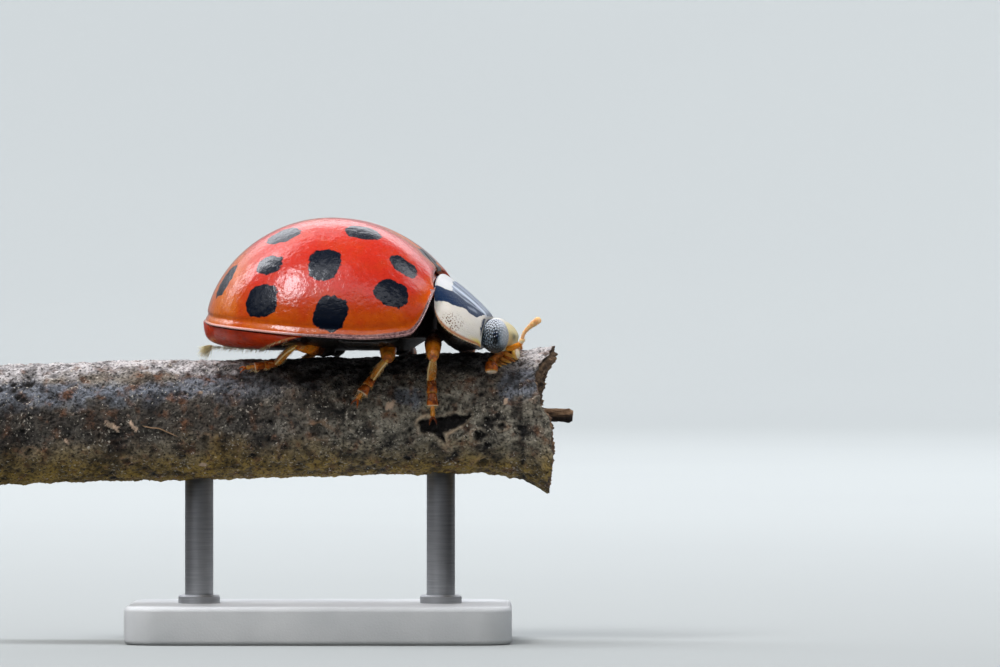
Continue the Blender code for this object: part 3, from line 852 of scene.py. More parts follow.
@dataclass(frozen=True)
class Dome:
    """The vault of the closed wing cases, over a rounded plan."""

    rear: float = 3.0
    front: float = 3.15
    half: float = 2.8
    top: float = 2.78
    power_rear: float = 2.1
    power_front: float = 2.9

    def plan(self, x: Points, inset: float = 0.0) -> tuple[Points, Points]:
        """How far the plan reaches on the side of each station, and how square it is there."""
        behind = np.asarray(x) < 0
        return (np.where(behind, self.rear, self.front) - inset,
                np.where(behind, self.power_rear, self.power_front))

    def half_width(self, x: Points, inset: float = 0.0) -> Points:
        """Half width of the plan at stations along the body."""
        reach, power = self.plan(x, inset)
        share = np.clip(1.0 - np.abs(x / reach) ** power, 0.0, None)
        return (self.half - inset) * share ** (1.0 / power)

    def rise(self, x: Points, y: Points, inset: float = 0.0) -> Points:
        """How far up the vault a place is, from 0 at the rim to 1 at the top."""
        reach, power = self.plan(x, inset)
        out = (np.abs(x / reach) ** power + np.abs(y / (self.half - inset)) ** power) ** (1.0 / power)
        return np.sqrt(np.clip(1.0 - out * out, 0.0, None))

    def rim(self, x: Points) -> Points:
        """Height of the rim along the body: low under the front half, up at the tip and the shoulder."""
        behind, ahead = np.clip(1.3 - x, 0.0, None), np.clip(x - 1.3, 0.0, None)
        tip, shoulder = np.clip(-2.45 - x, 0.0, None), np.clip(x - 2.28, 0.0, None)
        return -0.142 + 0.055 * behind ** 1.4 + 0.11 * ahead ** 2 + 0.25 * tip ** 2 + 3.4 * shoulder ** 2

    def height(self, x: Points, y: Points, inset: float = 0.0) -> Points:
        """Height of the vault over a place."""
        rise = self.rise(x, y, inset)
        return (self.top - inset) * rise + self.rim(x) * (1.0 - rise) ** 3

    def heading(self, x: Points, y: Points) -> tuple[Points, Points]:
        """The outward direction of the plan's edge near a place."""
        reach, power = self.plan(x)
        ahead = np.copysign(np.abs(x / reach) ** (power - 1.0) / reach, x)
        out = np.abs(y / self.half) ** (power - 1.0) / self.half
        size = np.maximum(np.hypot(ahead, out), 1e-9)
        return ahead / size, out / size


@dataclass(frozen=True)
class Spot:
    """A black spot: its station, its angle down from the seam, its half sizes and its turn."""

    station: float
    down: float
    half_along: float
    half_down: float
    turn: float = 0.0
    squareness: float = 2.0


SPOTS = (
    Spot(2.08, 44.5, 0.41, 0.27, 15.0), Spot(1.9, 66.0, 0.4, 0.34, 12.0, 2.6),
    Spot(1.0, 26.5, 0.45, 0.36, 0.0), Spot(0.26, 53.5, 0.4, 0.46, 0.0, 2.5),
    Spot(0.5, 79.0, 0.38, 0.43, 18.0, 3.2), Spot(-1.22, 73.0, 0.43, 0.42, 0.0, 2.4),
    Spot(-1.12, 51.0, 0.34, 0.3, 0.0), Spot(-0.94, 27.5, 0.43, 0.37, 0.0),
    Spot(-2.32, 46.5, 0.47, 0.27, -46.0), Spot(2.34, 3.0, 0.28, 0.3, 0.0))


@dataclass
class WingCases:
    """The two wing cases and the scutellum between their bases."""

    place: Place
    dome: Dome = Dome()
    base: float = 2.62
    base_bend: float = 0.05
    notch: float = 0.42
    notch_half: float = 0.28
    thickness: float = 0.14
    gap: float = 0.015
    flare: float = 0.03
    flare_angle: float = 8.0
    flare_fade: float = 1.8
    bead: float = 0.032
    fold: float = 0.42
    lowest: float = 89.0
    gutter: float = 0.035
    gutter_angle: float = 4.2
    gutter_width: float = 1.8
    base_roll: float = 0.05
    base_roll_reach: float = 0.07
    seam_roll: float = 0.035
    seam_roll_reach: float = 0.04
    wave: float = 0.006
    wave_length: float = 1.1
    rows: int = 150
    columns: int = 110
    inner_columns: int = 36

    def base_at(self, y: Points) -> Points:
        """Where the front edge runs, notched in the middle for the scutellum."""
        notch = self.notch * np.clip(1.0 - np.abs(y) / self.notch_half, 0.0, None)
        return self.base + self.base_bend * y * y - notch

    def along(self) -> Points:
        """Shares of the length at which the rows stand, crowded at the tip."""
        turn = 0.75 * pi
        share = (1.0 - np.cos(shares(self.rows + 1) * turn)) / (1.0 - cos(turn))
        return np.maximum(share, 0.0004)[:, None]

    def surface(self, down: Points, inset: float) -> tuple[Points, Points, Points]:
        """Places on the vault for every row at angles down from the seam."""
        width = float(self.dome.half_width(self.base, inset))
        tip = -(self.dome.rear - inset)
        down = down[None, :]
        x = tip + self.along() * (self.base_at(width * np.sin(down)) - tip)
        y = self.dome.half_width(x, inset) * np.sin(down)
        return x, y, self.dome.height(x, y, inset)

    def outer(self) -> tuple[Points, Points]:
        """The outer surface of one case, with its rolled edges and its gutter.

        Returns:
            The places, and the share of the rim's own colour at each.
        """
        share = 1.0 - (1.0 - shares(self.columns + 1)) ** 1.35
        down = radians(self.lowest) * share
        x, y, z = self.surface(down, 0.0)
        up = np.degrees(np.arcsin(np.clip(self.dome.rise(x, y), 0.0, 1.0)))
        fade = np.clip((self.base - x) / (self.base - self.flare_fade), 0.0, 1.0)
        ahead, out = self.dome.heading(x, y)
        spread = self.flare * fade * np.clip(1.0 - up / self.flare_angle, 0.0, None) ** 2
        gutter = self.gutter * fade * bell(up, self.gutter_angle, self.gutter_width)
        x = x + (spread - gutter) * ahead
        y = y + (spread - gutter) * out
        front = (1.0 - self.along()) * (self.base + self.dome.rear)
        roll = self.base_roll * np.clip(1.0 - front / self.base_roll_reach, 0.0, None) ** 2
        roll = roll + self.seam_roll * np.clip(1.0 - y / self.seam_roll_reach, 0.0, None) ** 2
        wave = self.wave * rough(xyz(x, y, z), self.wave_length, 2, 3.0)
        points = xyz(x, y, z - roll + wave)
        width = np.interp(x, (-2.6, -0.5, 0.6, 2.2), (0.02, 0.02, 0.12, 0.13))
        above = z - self.dome.rim(x)
        return points, ease(above, width, width - 0.03)

    def loops(self) -> tuple[Points, Points]:
        """For each row, the closed loop round the thickness of one case.

        Returns:
            The loops' places on the left side, and how near the rim each is.
        """
        outer, near = self.outer()
        last = outer[:, -1]
        ahead, out = self.dome.heading(last[:, 0], last[:, 1])
        heading = xyz(ahead, out, 0.0)
        size = np.minimum(1.0, self.dome.half_width(last[:, 0]) / 0.7 + 0.15)[:, None]
        lift = np.array([0.0, 0.0, 1.0])
        edge = []
        for angle in np.linspace(radians(70), radians(-90), 7):
            out, up = heading * (cos(angle) + 0.15), lift * (sin(angle) - 1.0)
            edge.append(last + self.bead * size * (out + up))
        for step in (0.35, 0.7, 1.0):
            inward = self.fold * step * size
            edge.append(edge[6] - heading * inward + lift * (0.03 * sin(pi * step) * size))
        inner = self.surface(np.linspace(radians(84), 0.0, self.inner_columns), self.thickness)
        inner = np.stack(inner, -1)
        inner[:, 0] = edge[-1] + lift * 0.06 * size
        loop = np.concatenate([outer, np.stack(edge, 1), inner], 1)
        rear = ease(last[:, 0], -0.2, -1.2)[:, None]
        beaded = 1.0 - rear * (1.0 - np.array([0.1, 0.4, 0.9, 1.0, 0.8, 0.5, 0.3, 0.2]))
        folded, inside = np.full((len(near), 2), 0.3), np.zeros((len(near), self.inner_columns))
        return loop, np.concatenate([near, beaded, folded, inside], 1)

    def over(self, station: float, down: float) -> Points:
        """The place on the vault at a station and an angle down from the seam."""
        y = float(self.dome.half_width(station)) * sin(radians(down))
        return np.array([station, y, float(self.dome.height(station, y))])

    def spot_distance(self, points: Points) -> Points:
        """Signed distance from places on the left case to the nearest spot.

        Args:
            points: places on the case.

        Returns:
            The distances, below 0 inside a spot.
        """
        nearest = np.full(points.shape[:-1], 1.0)
        for spot in SPOTS:
            middle = self.over(spot.station, spot.down)
            along = unit(self.over(spot.station + 0.03, spot.down) - middle)
            down = unit(self.over(spot.station, spot.down + 1.0) - middle)
            down = unit(down - along * float(down @ along))
            c, s = cos(radians(spot.turn)), sin(radians(spot.turn))
            away = points - middle
            a, b = away @ along, away @ down
            depth = np.linalg.norm(away - a[..., None] * along - b[..., None] * down, axis=-1)
            a, b = np.abs(a * c + b * s) / spot.half_along, np.abs(b * c - a * s) / spot.half_down
            out = (a ** spot.squareness + b ** spot.squareness) ** (1.0 / spot.squareness)
            reach = (out - 1.0) * min(spot.half_along, spot.half_down)
            nearest = np.minimum(nearest, reach + np.where(depth > 0.6, 1.0, 0.0))
        return nearest

    def warmth(self, points: Points) -> Points:
        """How far the red turns to orange: low on the flank and at the tip, and along the seam and at the
        shoulder as painted light from green surroundings.
        """
        x, y = points[..., 0], points[..., 1]
        z = points[..., 2] - self.dome.rim(x)
        flank = 0.55 * ease(z, 1.3, 0.5) + 0.15 * ease(z, 0.4, 0.1)
        tip = 0.95 * ease(x, -1.25, -2.3) * ease(z, 2.5, 1.7)
        # Painted light: orange along the seam and yellow-orange at the shoulder, where the silhouette
        # catches the green surroundings.
        seam = 0.65 * ease(y, 0.9, 0.3) * ease(x, 0.8, -0.6)
        shoulder = np.maximum(ease(x, 1.7, 2.3) * ease(y, 0.9, 0.2), ease(x, 1.0, 1.6) * ease(y, 0.62, 0.3))
        return np.clip(np.maximum.reduce([flank, tip, seam, shoulder]), 0.0, 1.0)

    def build(self) -> None:
        """Make both cases and the scutellum."""
        loop, near = self.loops()
        spots = self.spot_distance(loop)
        spots[:, self.columns + 4:] = 1.0
        # The first share paints a highlight on the rim towards the rear; the second is the orange, partly
        # painted light.
        light, warm = ease(loop[..., 0], 0.2, -1.0), self.warmth(loop)
        for side in Side:
            points = loop.copy()
            points[..., 1] = side.value * (points[..., 1] + self.gap)
            draft = Draft(self.place)
            draft.grid(points, Ends.BOTH, spot=spots, rim=near, rim_light=light, warm=warm)
            draft.piece(f"wing_case_{side.word}", "wing_case", [f"elytron_{side.word}"])
        self.build_scutellum()

    def build_scutellum(self) -> None:
        """Make the small domed triangle between the bases of the cases."""
        tip = float(self.base_at(0.0)) + 0.05
        back = np.linspace(0.02, 1.0, 24)[:, None]
        turn = circle(40)[None, :]
        y = (self.notch_half - 0.03) * back * np.cos(turn)
        x = tip + (self.base - tip) * back + 0 * turn
        top = self.dome.height(x, y) - 0.012 + 0.025 * (1.0 - (y / (0.26 * back)) ** 2)
        z = np.where(np.sin(turn) >= 0, top, top - 0.1)
        draft = Draft(self.place)
        draft.grid(xyz(x, y, z), Ends.BOTH)
        draft.piece("scutellum_plate", "black_shell", ["scutellum"])


@dataclass
class Pronotum:
    """The cream shield behind the head, with its black M."""

    place: Place
    rear: float = 2.66
    front: float = 3.85
    bend: float = 0.16
    length: float = 1.25
    thickness: float = 0.14
    rear_roll: float = 0.05
    front_roll: float = 0.04
    rows: int = 70
    columns: int = 150

    LIMB_FRONT = (
        (0.03, 0.16, 0.27, 0.37, 0.46, 0.56, 0.64, 0.73, 0.83, 0.93, 1.02, 1.11, 1.19, 1.25),
        (1.19, 1.12, 1.1, 1.04, 0.94, 0.9, 0.91, 0.87, 0.83, 0.77, 0.7, 0.63, 0.53, 0.3))
    LIMB_REAR = (
        (0.05, 0.23, 0.37, 0.45, 0.53, 0.65, 0.75, 0.81, 0.87, 0.92, 0.99, 1.06, 1.12, 1.16, 1.22, 1.25),
        (1.64, 1.59, 1.52, 1.49, 1.49, 1.38, 1.28, 1.21, 1.19, 1.18, 1.15, 1.08, 0.97, 0.78, 0.5, 0.2))
    PLATE_REAR = ((0.0, 0.24, 0.6, 0.84, 1.0), (0.35, 0.36, 0.41, 0.43, 0.44))
    # Streaks of painted reflection on the M: a share, then stops of across, along and half width.
    PAINTED_REFLECTIONS = (
        (0.92, ((0.62, 0.4, 0.05), (0.6, 0.54, 0.07), (0.55, 0.72, 0.08), (0.47, 0.95, 0.08),
            (0.42, 1.2, 0.07))),
        (0.62, ((0.9, 0.42, 0.03), (0.86, 0.6, 0.02), (0.83, 0.8, 0.015))),
        (0.55, ((0.22, 0.42, 0.08), (0.2, 0.8, 0.1), (0.16, 1.15, 0.1))),
        (0.35, ((1.0, 0.9, 0.02), (0.84, 1.04, 0.03))))
    STREAKS = (
        ((0.82, 0.52, 0.02), (0.8, 0.66, 0.04), (0.68, 0.82, 0.04), (0.62, 0.98, 0.03)),
        ((0.36, 0.38, 0.02), (0.32, 0.7, 0.02), (0.28, 1.0, 0.02)))

    def surface(self, u: Points, v: Points, inset: float = 0.0) -> Points:
        """Places on the shield."""
        half = 1.75 + 1.09 * v - 1.49 * v * v - 0.75 * inset
        top = 1.45 - 0.97 * v ** 1.25 - inset
        edge = 0.7 - 1.0 * v ** 0.43
        x = self.rear + (self.front - self.rear) * v + self.bend * (1.0 - v) * u * u
        z = edge + (top - edge) * np.clip(1.0 - u * u, 0.0, None) ** 0.59
        return xyz(x, half * u, z)

    def markings(self, across: Points, along: Points) -> tuple[Points, Points]:
        """The M of the shield: navy limbs joined by a plate, with painted reflection that makes the plate
        grey and lays silver streaks on it.
        """
        front, rear = np.interp(along, *self.LIMB_FRONT), np.interp(along, *self.LIMB_REAR)
        limb = np.maximum(front - across, across - rear)
        plate = np.maximum(np.interp(across, *self.PLATE_REAR) - along, across - front - 0.02)
        # Painted reflection: grey over the plate and silver streaks, broken by darker streaks.
        grey = 0.4 * ease(front - across, -0.02, 0.05)
        for share, stops in self.PAINTED_REFLECTIONS:
            grey = np.maximum(grey, share * ease(stroke(across, along, stops), 0.05, -0.03))
        for stops in self.STREAKS:
            grey = grey * (1.0 - 0.75 * ease(stroke(across, along, stops), 0.03, -0.02))
        corner = np.maximum.reduce([1.222 - along, 0.62 - across, across - 1.25])
        return np.minimum.reduce([limb, plate, corner]), grey

    def build(self) -> None:
        """Make the shield and its fringe."""
        v = (shares(self.rows) ** 1.6)[:, None]
        u = np.sin(np.linspace(-0.5, 0.5, self.columns) * pi)[None, :]
        above = self.surface(u, v)
        along, across = v * self.length + 0 * u, np.abs(above[..., 1])
        marking, sheen = self.markings(across, along)
        x, y, z = np.moveaxis(above, -1, 0)
        away = np.hypot((x - 3.22) / 0.36, (z - 0.24) / 0.32)
        speckle = ease(away, 1.0, 0.4) * ease(np.abs(u), 0.75, 0.9)
        near = (1.0 - np.abs(u)) * 2.0 + 0 * v
        roll = self.rear_roll * np.clip(1.0 - v * self.length / 0.07, 0.0, None) ** 2
        roll = roll + self.front_roll * np.clip(1.0 - (1.0 - v) * self.length / 0.06, 0.0, None) ** 2
        above[..., 2] += 0.022 * bell(near, 0.01, 0.02) - 0.012 * bell(near, 0.06, 0.04) - roll
        below = self.surface(u[:, ::-1] * 0.985, v, self.thickness)
        below[..., 2] = np.minimum(below[..., 2], above[:, ::-1, 2] - 0.03)
        loop = np.concatenate([above, below], 1)
        margin = ease(near, 0.014, 0.004) * 0.9
        front = ease(v + 0 * u, 0.94, 0.995) * ease(np.abs(u) + 0 * v, 0.36, 0.18)
        corner = ease(v + 0 * u, 0.72, 0.98) * ease(near, 0.1, 0.01)
        marks = {"marking": (marking, 1.0), "sheen": (sheen, 0.0), "speckle": (speckle, 0.0),
                 "margin": (margin, 0.0), "front": (np.maximum(0.8 * front, 0.9 * corner), 0.0)}
        for name, (top, rest) in marks.items():
            marks[name] = np.concatenate([top + 0 * near, np.full_like(near, rest)], 1)
        draft = Draft(self.place)
        draft.grid(loop, Ends.BOTH, **marks)
        draft.piece("pronotum_shield", "pronotum", ["pronotum"])
        self.build_fringe()

    def build_fringe(self) -> None:
        """Make the golden hairs along the shield's lower edge."""
        draw = Draw(11)
        fringe = Bristles(self.place)
        for side in (-1, 1):
            for v0 in np.linspace(0.03, 0.99, 64):
                root = self.surface(np.array(side * 0.999), np.array(v0 + draw.uniform(-0.006, 0.006)))
                heading = np.array([draw.uniform(-0.3, 0.3), side * 0.6, -1.0])
                fringe.add(root, heading, draw.uniform(0.03, 0.06), 0.004, (0.5 + 0.48 * side, v0 * 0.98))
        fringe.piece("pronotum_fringe_setae", "pronotum")


@dataclass
class Trunk:
    """Abdomen, thorax and prothorax under the shields."""

    place: Place
    dome: Dome = Dome()
    inset: float = 0.55
    waist: float = -0.2
    low: float = -0.41
    neck_low: float = -0.12
    half: float = 2.24
    tail: float = 3.08
    thorax_front: float = 2.58
    prothorax_low: float = -0.36
    roof_gap: float = 0.05
    seams: tuple[float, ...] = (-2.66, -2.24, -1.78, -1.28, -0.72)
    grooves: tuple[float, ...] = (0.62, 1.6)
    hairs: int = 640
    columns: int = 120

    def half_at(self, x: Points) -> Points:
        """Half width of the trunk, which reaches back past the wing cases."""
        x = np.asarray(x, float)
        rear = self.half * np.clip(1.0 - np.abs(x / self.tail) ** 2.4, 0.0, None) ** (1 / 2.4)
        return np.where(x > 0, np.minimum(self.half, self.dome.half_width(x, self.inset)), rear)

    def keel(self, x: Points) -> Points:
        """Height of the belly's lowest line."""
        tail = np.clip(1.0 - np.abs(np.minimum(x, 0.0) / self.tail) ** 5, 0.0, None) ** 0.5
        return np.where(x < self.waist, self.low * tail,
                        np.interp(x, (1.75, 2.1), (self.low, self.neck_low)))

    def side_edge(self, x: Points) -> Points:
        """Height of the folded edge that runs along the abdomen's side."""
        return np.interp(x, (-3.0, -1.6, -0.3, 0.0), (-0.3, -0.385, -0.03, 0.02))

    def rings(self, x: Points) -> tuple[Points, Points]:
        """Cross-sections: the inside of the vault above, the belly below."""
        turn = circle(self.columns)[None, :]
        half, low = self.half_at(x)[:, None], self.keel(x)[:, None]
        inner = np.minimum(half, self.dome.half_width(x, self.inset)[:, None])
        x = x[:, None] + 0 * turn
        edge = self.dome.height(x, half + 0 * turn, self.inset) - self.roof_gap
        upper = np.sin(turn) >= 0
        y = np.where(upper, inner, half) * np.cos(turn)
        share = np.clip(-np.sin(turn), 0.0, 1.0) + 0 * x
        z = np.where(upper, self.dome.height(x, y, self.inset) - self.roof_gap, edge + (low - edge) * share)
        return xyz(x, y, z), share

    def build(self, pronotum: Pronotum) -> None:
        """Make the abdomen with its plates, then the other parts and the fringe.

        Args:
            pronotum: the shield that the prothorax fits under.
        """
        along = np.linspace(0.02, 1.0, 150)
        rings, share = self.rings(-self.tail * np.cos(along * pi / 2) + self.waist * along)
        below = share > 0
        above = rings[..., 2] - self.side_edge(rings[..., 0])
        seam = np.zeros_like(share)
        for place in self.seams:
            bent = rings[..., 0] - place + 0.1 * (1.0 - share)
            rings[..., 2] += below * 0.008 * bell(bent, 0.0, 0.04) * share ** 0.5
            seam = np.maximum(seam, 0.1 * bell(bent, 0.0, 0.015) * below)
        rings[..., 1] *= 1.0 + 0.01 * bell(above, 0.0, 0.02) * below
        seam = np.maximum(seam, 0.9 * bell(above, 0.0, 0.016) * below)
        draft = Draft(self.place)
        draft.grid(rings, Ends.BOTH, seam=seam, dark=ease(above, -0.01, -0.06) * below)
        draft.piece("abdomen_plates", "belly", ["abdomen"])
        self.build_thorax()
        self.build_prothorax(pronotum)
        self.build_fringe()

    def build_thorax(self) -> None:
        """Make the black middle part, with its grooves, that carries two pairs of legs."""
        rings, share = self.rings(np.linspace(self.waist + 0.01, self.thorax_front, 90))
        for place in self.grooves:
            depth = 0.05 * bell(rings[..., 0], place, 0.05) * share ** 0.5
            rings[..., 2] += np.where(share > 0, depth, 0.0)
        draft = Draft(self.place)
        draft.grid(rings, Ends.BOTH)
        draft.piece("thorax_plates", "black_shell", ["thorax"])

    def build_prothorax(self, pronotum: Pronotum) -> None:
        """Make the black part under the pronotum that carries the front legs."""
        v = np.linspace(0.0, 0.92 / 1.19, 60)[:, None]
        turn = circle(90)[None, :]
        rings = pronotum.surface(np.cos(turn) * 0.97, v, 0.46)
        edge = pronotum.surface(np.array(1.0), v)[..., 2]
        low = np.interp(v, (0.0, 0.33), (-0.08, self.prothorax_low))
        share = np.clip(-np.sin(turn), 0.0, 1.0) + 0 * v
        rings[..., 2] = np.where(share > 0, edge + (low - edge) * share, rings[..., 2])
        rings[..., 2] += np.where(share > 0, 0.03 * rough(rings, 0.16, 3, 9.0) - 0.02, 0.0)
        draft = Draft(self.place)
        draft.grid(rings, Ends.BOTH)
        draft.piece("prothorax_plates", "black_shell", ["prothorax"])

    def build_fringe(self) -> None:
        """Make the pale hairs along the abdomen's side edge and the tuft at its tip."""
        draw = Draw(23)
        fringe = Bristles(self.place)
        for number in range(self.hairs):
            tuft = number % 2 == 0
            x0 = draw.uniform(-3.04, -2.94) if tuft else -0.5 - 2.5 * draw.uniform(0.0, 1.0) ** 0.6
            side = draw.choice((-1.0, 1.0))
            half = float(self.half_at(x0))
            edge = float(self.dome.height(x0, half, self.inset)) - self.roof_gap
            z0 = float(self.side_edge(x0)) + draw.uniform(-0.03, 0.02)
            share = min(1.0, max(0.0, (z0 - edge) / (float(self.keel(x0)) - edge)))
            y0 = side * half * sqrt(1.0 - share * share)
            heading = (draw.uniform(-1.3, -0.2), side * draw.uniform(0.0, 0.9), draw.uniform(-1.0, 0.1))
            length = draw.uniform(0.16, 0.34) if tuft else draw.uniform(0.06, 0.14)
            spot = (0.5 + side * (0.05 + 0.4 * share), -x0 / 3.2)
            fringe.add(np.array([x0, y0, z0]), heading, length, 0.008 if tuft else 0.006, spot)
        fringe.piece("abdomen_fringe_setae", "belly", "down")


@dataclass
class Head:
    """Head capsule, eyes, feelers and mouthparts."""

    place: Place
    centre: Triple = (4.08, 0.0, -0.05)
    half: Triple = (0.445, 0.84, 0.43)
    nod: float = 12.0
    face_slant: Triple = (0.7, 0.0, 0.71)
    face_reach: float = 0.33
    eye_centre: Triple = (4.12, 0.8, -0.06)
    eye_half: Triple = (0.31, 0.295, 0.395)
    left_eye_back: float = 0.15
    lenses: int = 330
    feeler_hairs: int = 190
    lip_hairs: int = 70

    FEELERS = {
        Side.RIGHT: ((4.34, -0.42, -0.36), (4.44, -0.47, -0.35), (4.55, -0.51, -0.31),
            (4.67, -0.55, -0.26), (4.73, -0.58, -0.17), (4.75, -0.61, -0.09), (4.79, -0.65, 0.0),
            (4.87, -0.7, 0.1), (4.98, -0.76, 0.19), (5.08, -0.82, 0.26), (5.2, -0.9, 0.33)),
        Side.LEFT: ((4.3, 0.42, -0.18), (4.4, 0.5, -0.24), (4.45, 0.62, -0.3), (4.45, 0.74, -0.33),
            (4.43, 0.86, -0.34), (4.39, 0.98, -0.33), (4.33, 1.1, -0.31), (4.26, 1.21, -0.28),
            (4.18, 1.31, -0.25), (4.1, 1.39, -0.21), (4.0, 1.46, -0.17))}
    PALPS = {
        Side.RIGHT: ((4.22, -0.36, -0.47), (4.1, -0.48, -0.53), (3.99, -0.6, -0.66), (4.01, -0.7, -0.94)),
        Side.LEFT: ((4.2, 0.36, -0.46), (4.24, 0.5, -0.46), (4.22, 0.64, -0.45), (4.1, 0.86, -0.42))}
    FEELER_JOINTS = (
        (0.0, 0.066), (0.31, 0.055), (0.36, 0.065), (0.45, 0.042), (0.52, 0.042), (0.59, 0.044),
        (0.66, 0.048), (0.73, 0.056), (0.82, 0.078), (0.92, 0.08))

    MOUTH_LOBES = (
        ((4.18, 0.34, -0.42), (4.36, 0.38, -0.5), (4.5, 0.24, -0.57), 0.055, 0.9, 0.1),
        ((4.24, 0.34, -0.5), (4.38, 0.34, -0.6), (4.48, 0.14, -0.67), 0.06, 0.3, 0.5),
        ((4.12, 0.36, -0.52), (4.26, 0.38, -0.63), (4.41, 0.24, -0.7), 0.05, 0.8, 0.3),
        ((4.04, 0.34, -0.56), (4.14, 0.36, -0.67), (4.31, 0.26, -0.75), 0.05, 0.4, 0.7),
        ((3.98, 0.26, -0.6), (4.06, 0.28, -0.72), (4.2, 0.24, -0.79), 0.04, 0.8, 0.2))

    def build(self) -> None:
        """Make every piece of the head."""
        self.build_capsule()
        for side in Side:
            self.build_eye(side)
            self.build_feeler(side)
            self.build_palp(side)
        self.build_mouth()

    def build_capsule(self) -> None:
        """Make the capsule: a flat cream front, ridges round the eyes and a black nape."""
        way = sphere(90, 150)
        power = 2.15
        size = (np.abs(way) ** power).sum(-1) ** (-1.0 / power)
        shape = way * size[..., None] * np.array(self.half)
        x, y, z = np.moveaxis(shape, -1, 0)
        shape[..., 0] += 0.06 * bell(y, 0.0, 0.3) * bell(z, -0.3, 0.14) * ease(x, 0.0, 0.3)
        shape[..., 0] -= 0.02 * bell(np.abs(y), 0.4, 0.1) * bell(z, -0.2, 0.1) * ease(x, 0.0, 0.3)
        turned = shape @ np.array(Matrix.Rotation(radians(self.nod), 3, "Y")).T
        slant = unit(np.array(self.face_slant))
        over = turned @ slant - self.face_reach
        turned -= 0.4 * (over + np.hypot(over, 0.06))[..., None] * slant
        points = turned + np.array(self.centre)
        beside = points * np.where(points[..., 1:2] < 0, (1.0, -1.0, 1.0), 1.0)
        ring = np.linalg.norm((beside - self.eye_centre) / self.eye_half, axis=-1)
        points += unit(shape) * (0.022 * bell(ring, 1.12, 0.07))[..., None]
        x, y, z = np.moveaxis(points, -1, 0)
        marking = np.minimum(x - 3.97 + 0.05 * z, 0.25 * (ring - 1.06))
        smudge = bell(z, -0.08, 0.09) * bell(np.abs(y), 0.3, 0.14) * ease(x, 4.2, 4.32)
        margin = 0.5 * bell(ring, 1.16, 0.04) * ease(z, 0.0, -0.3)
        draft = Draft(self.place)
        draft.grid(points, marking=marking, smudge=0.9 * smudge, frons=ease(x, 4.18, 4.34) * 0.9,
                   margin=margin)
        draft.piece("head_capsule", "head", ["head"])

    def build_eye(self, side: Side) -> None:
        """Make one eye out of raised lenses, coarser than real ones so that they show.

        Args:
            side: the side it is on.
        """
        turn = pi * (3.0 - sqrt(5.0))
        steps = np.arange(self.lenses)
        up = 1.0 - 2.0 * (steps + 0.5) / self.lenses
        flat = np.sqrt(1.0 - up * up)
        middles = xyz(flat * np.cos(turn * steps), up, flat * np.sin(turn * steps))
        tree = KDTree(self.lenses)
        for i, middle in enumerate(middles):
            tree.insert(middle, i)
        tree.balance()
        ball = bmesh.new()
        bmesh.ops.create_icosphere(ball, subdivisions=6, radius=1.0)
        ways = np.array([v.co[:] for v in ball.verts])
        near = np.array([tree.find(way)[2] for way in ways])
        spacing = sqrt(4 * pi / self.lenses) * 0.56
        lens = np.clip(1.0 - (near / spacing) ** 2, 0.0, 1.0)
        half = np.array(self.eye_half)
        points = ways * (half + 0.02 * lens[:, None])
        points[:, 1] *= np.where(ways[:, 1] * side.value < 0, 0.6, 1.0)
        if side is Side.LEFT:
            points *= (0.86, 0.9, 0.92)
            points[:, 0] -= self.left_eye_back
        points += np.array(self.eye_centre) * (1.0, side.value, 1.0)
        draft = Draft(self.place, [points], [[v.index for v in face.verts] for face in ball.faces],
                      [0] * len(ball.faces), count=len(points))
        ball.free()
        x, y, z = ways.T
        # Painted highlights: pale patches on the eye's top and front.
        shine = 0.7 * ease(x, 0.4, 0.8) * ease(z, -0.8, -0.2)
        shine = np.maximum(ease(z, 0.15, 0.75) * ease(x, -0.8, 0.0), shine)
        core = ease(np.hypot((x - 0.18) / 0.8, z - 0.05), 0.42, 0.15) * (y * side.value > 0)
        pit = ease(np.hypot(x - 0.14, (z + 0.28) / 1.3), 0.3, 0.1) * (y * side.value > 0)
        marks = {"lens": np.clip((lens - 0.3) * 2.6, 0.8 * ease(x, 0.1, 0.6), 1.0),
                 "low": ease(z, -0.3, -0.9), "shine": shine, "core": 0.85 * core, "pit": 0.9 * pit}
        draft.marks.append((0, len(points), marks))
        draft.piece(f"compound_eye_{side.word}", "eye", [f"eye_{side.word}"], 180.0)

    def build_feeler(self, side: Side) -> None:
        """Make one feeler: a stout first joint, a thin stalk of joints and a loose club.

        Args:
            side: the side it is on.
        """
        route = smooth_route(self.FEELERS[side], 90)
        t = shares(90)
        radius = np.zeros(90)
        ends = [start for start, _ in self.FEELER_JOINTS[1:]] + [1.0]
        for (start, size), end in zip(self.FEELER_JOINTS, ends):
            share = np.clip((t - start) / (end - start), 0.0, 1.0)
            swell = size * (0.78 + 0.22 * np.sin(pi * share) ** 0.6 + 0.08 * share)
            radius = np.where((t >= start) & (t <= end), swell, radius)
        draft = Draft(self.place)
        first = t <= 0.34
        draft.tube(route[first], radius[first], 20, tan=1.0)
        rest = t[~first]
        draft.tube(route[~first], radius[~first], 20, slot=1, pale=0.7 * ease(rest, 0.46, 0.38),
                   club=ease(rest, 0.72, 0.85) * ease(rest, 1.0, 0.95))
        draft.piece(f"feeler_{side.word}", "feeler", [f"antenna_{side.word}"], 70.0)
        draw = Draw(31 + side.value)
        coat = Bristles(self.place)
        for _ in range(self.feeler_hairs):
            k = int(draw.choice((draw.uniform(20, 86), draw.uniform(64, 88))))
            turn = draw.uniform(0.0, 2 * pi)
            ahead, out = out_of(route, k, turn, (0.2, 0.3, 0.9))
            spot = (0.02 + 0.95 * turn / (2 * pi), k / 92)
            length = draw.uniform(0.035, 0.075)
            coat.add(route[k] + out * radius[k] * 0.9, out * 0.7 + ahead, length, 0.0035, spot, 0.0)
        coat.piece(f"feeler_{side.word}_setae", "feeler")

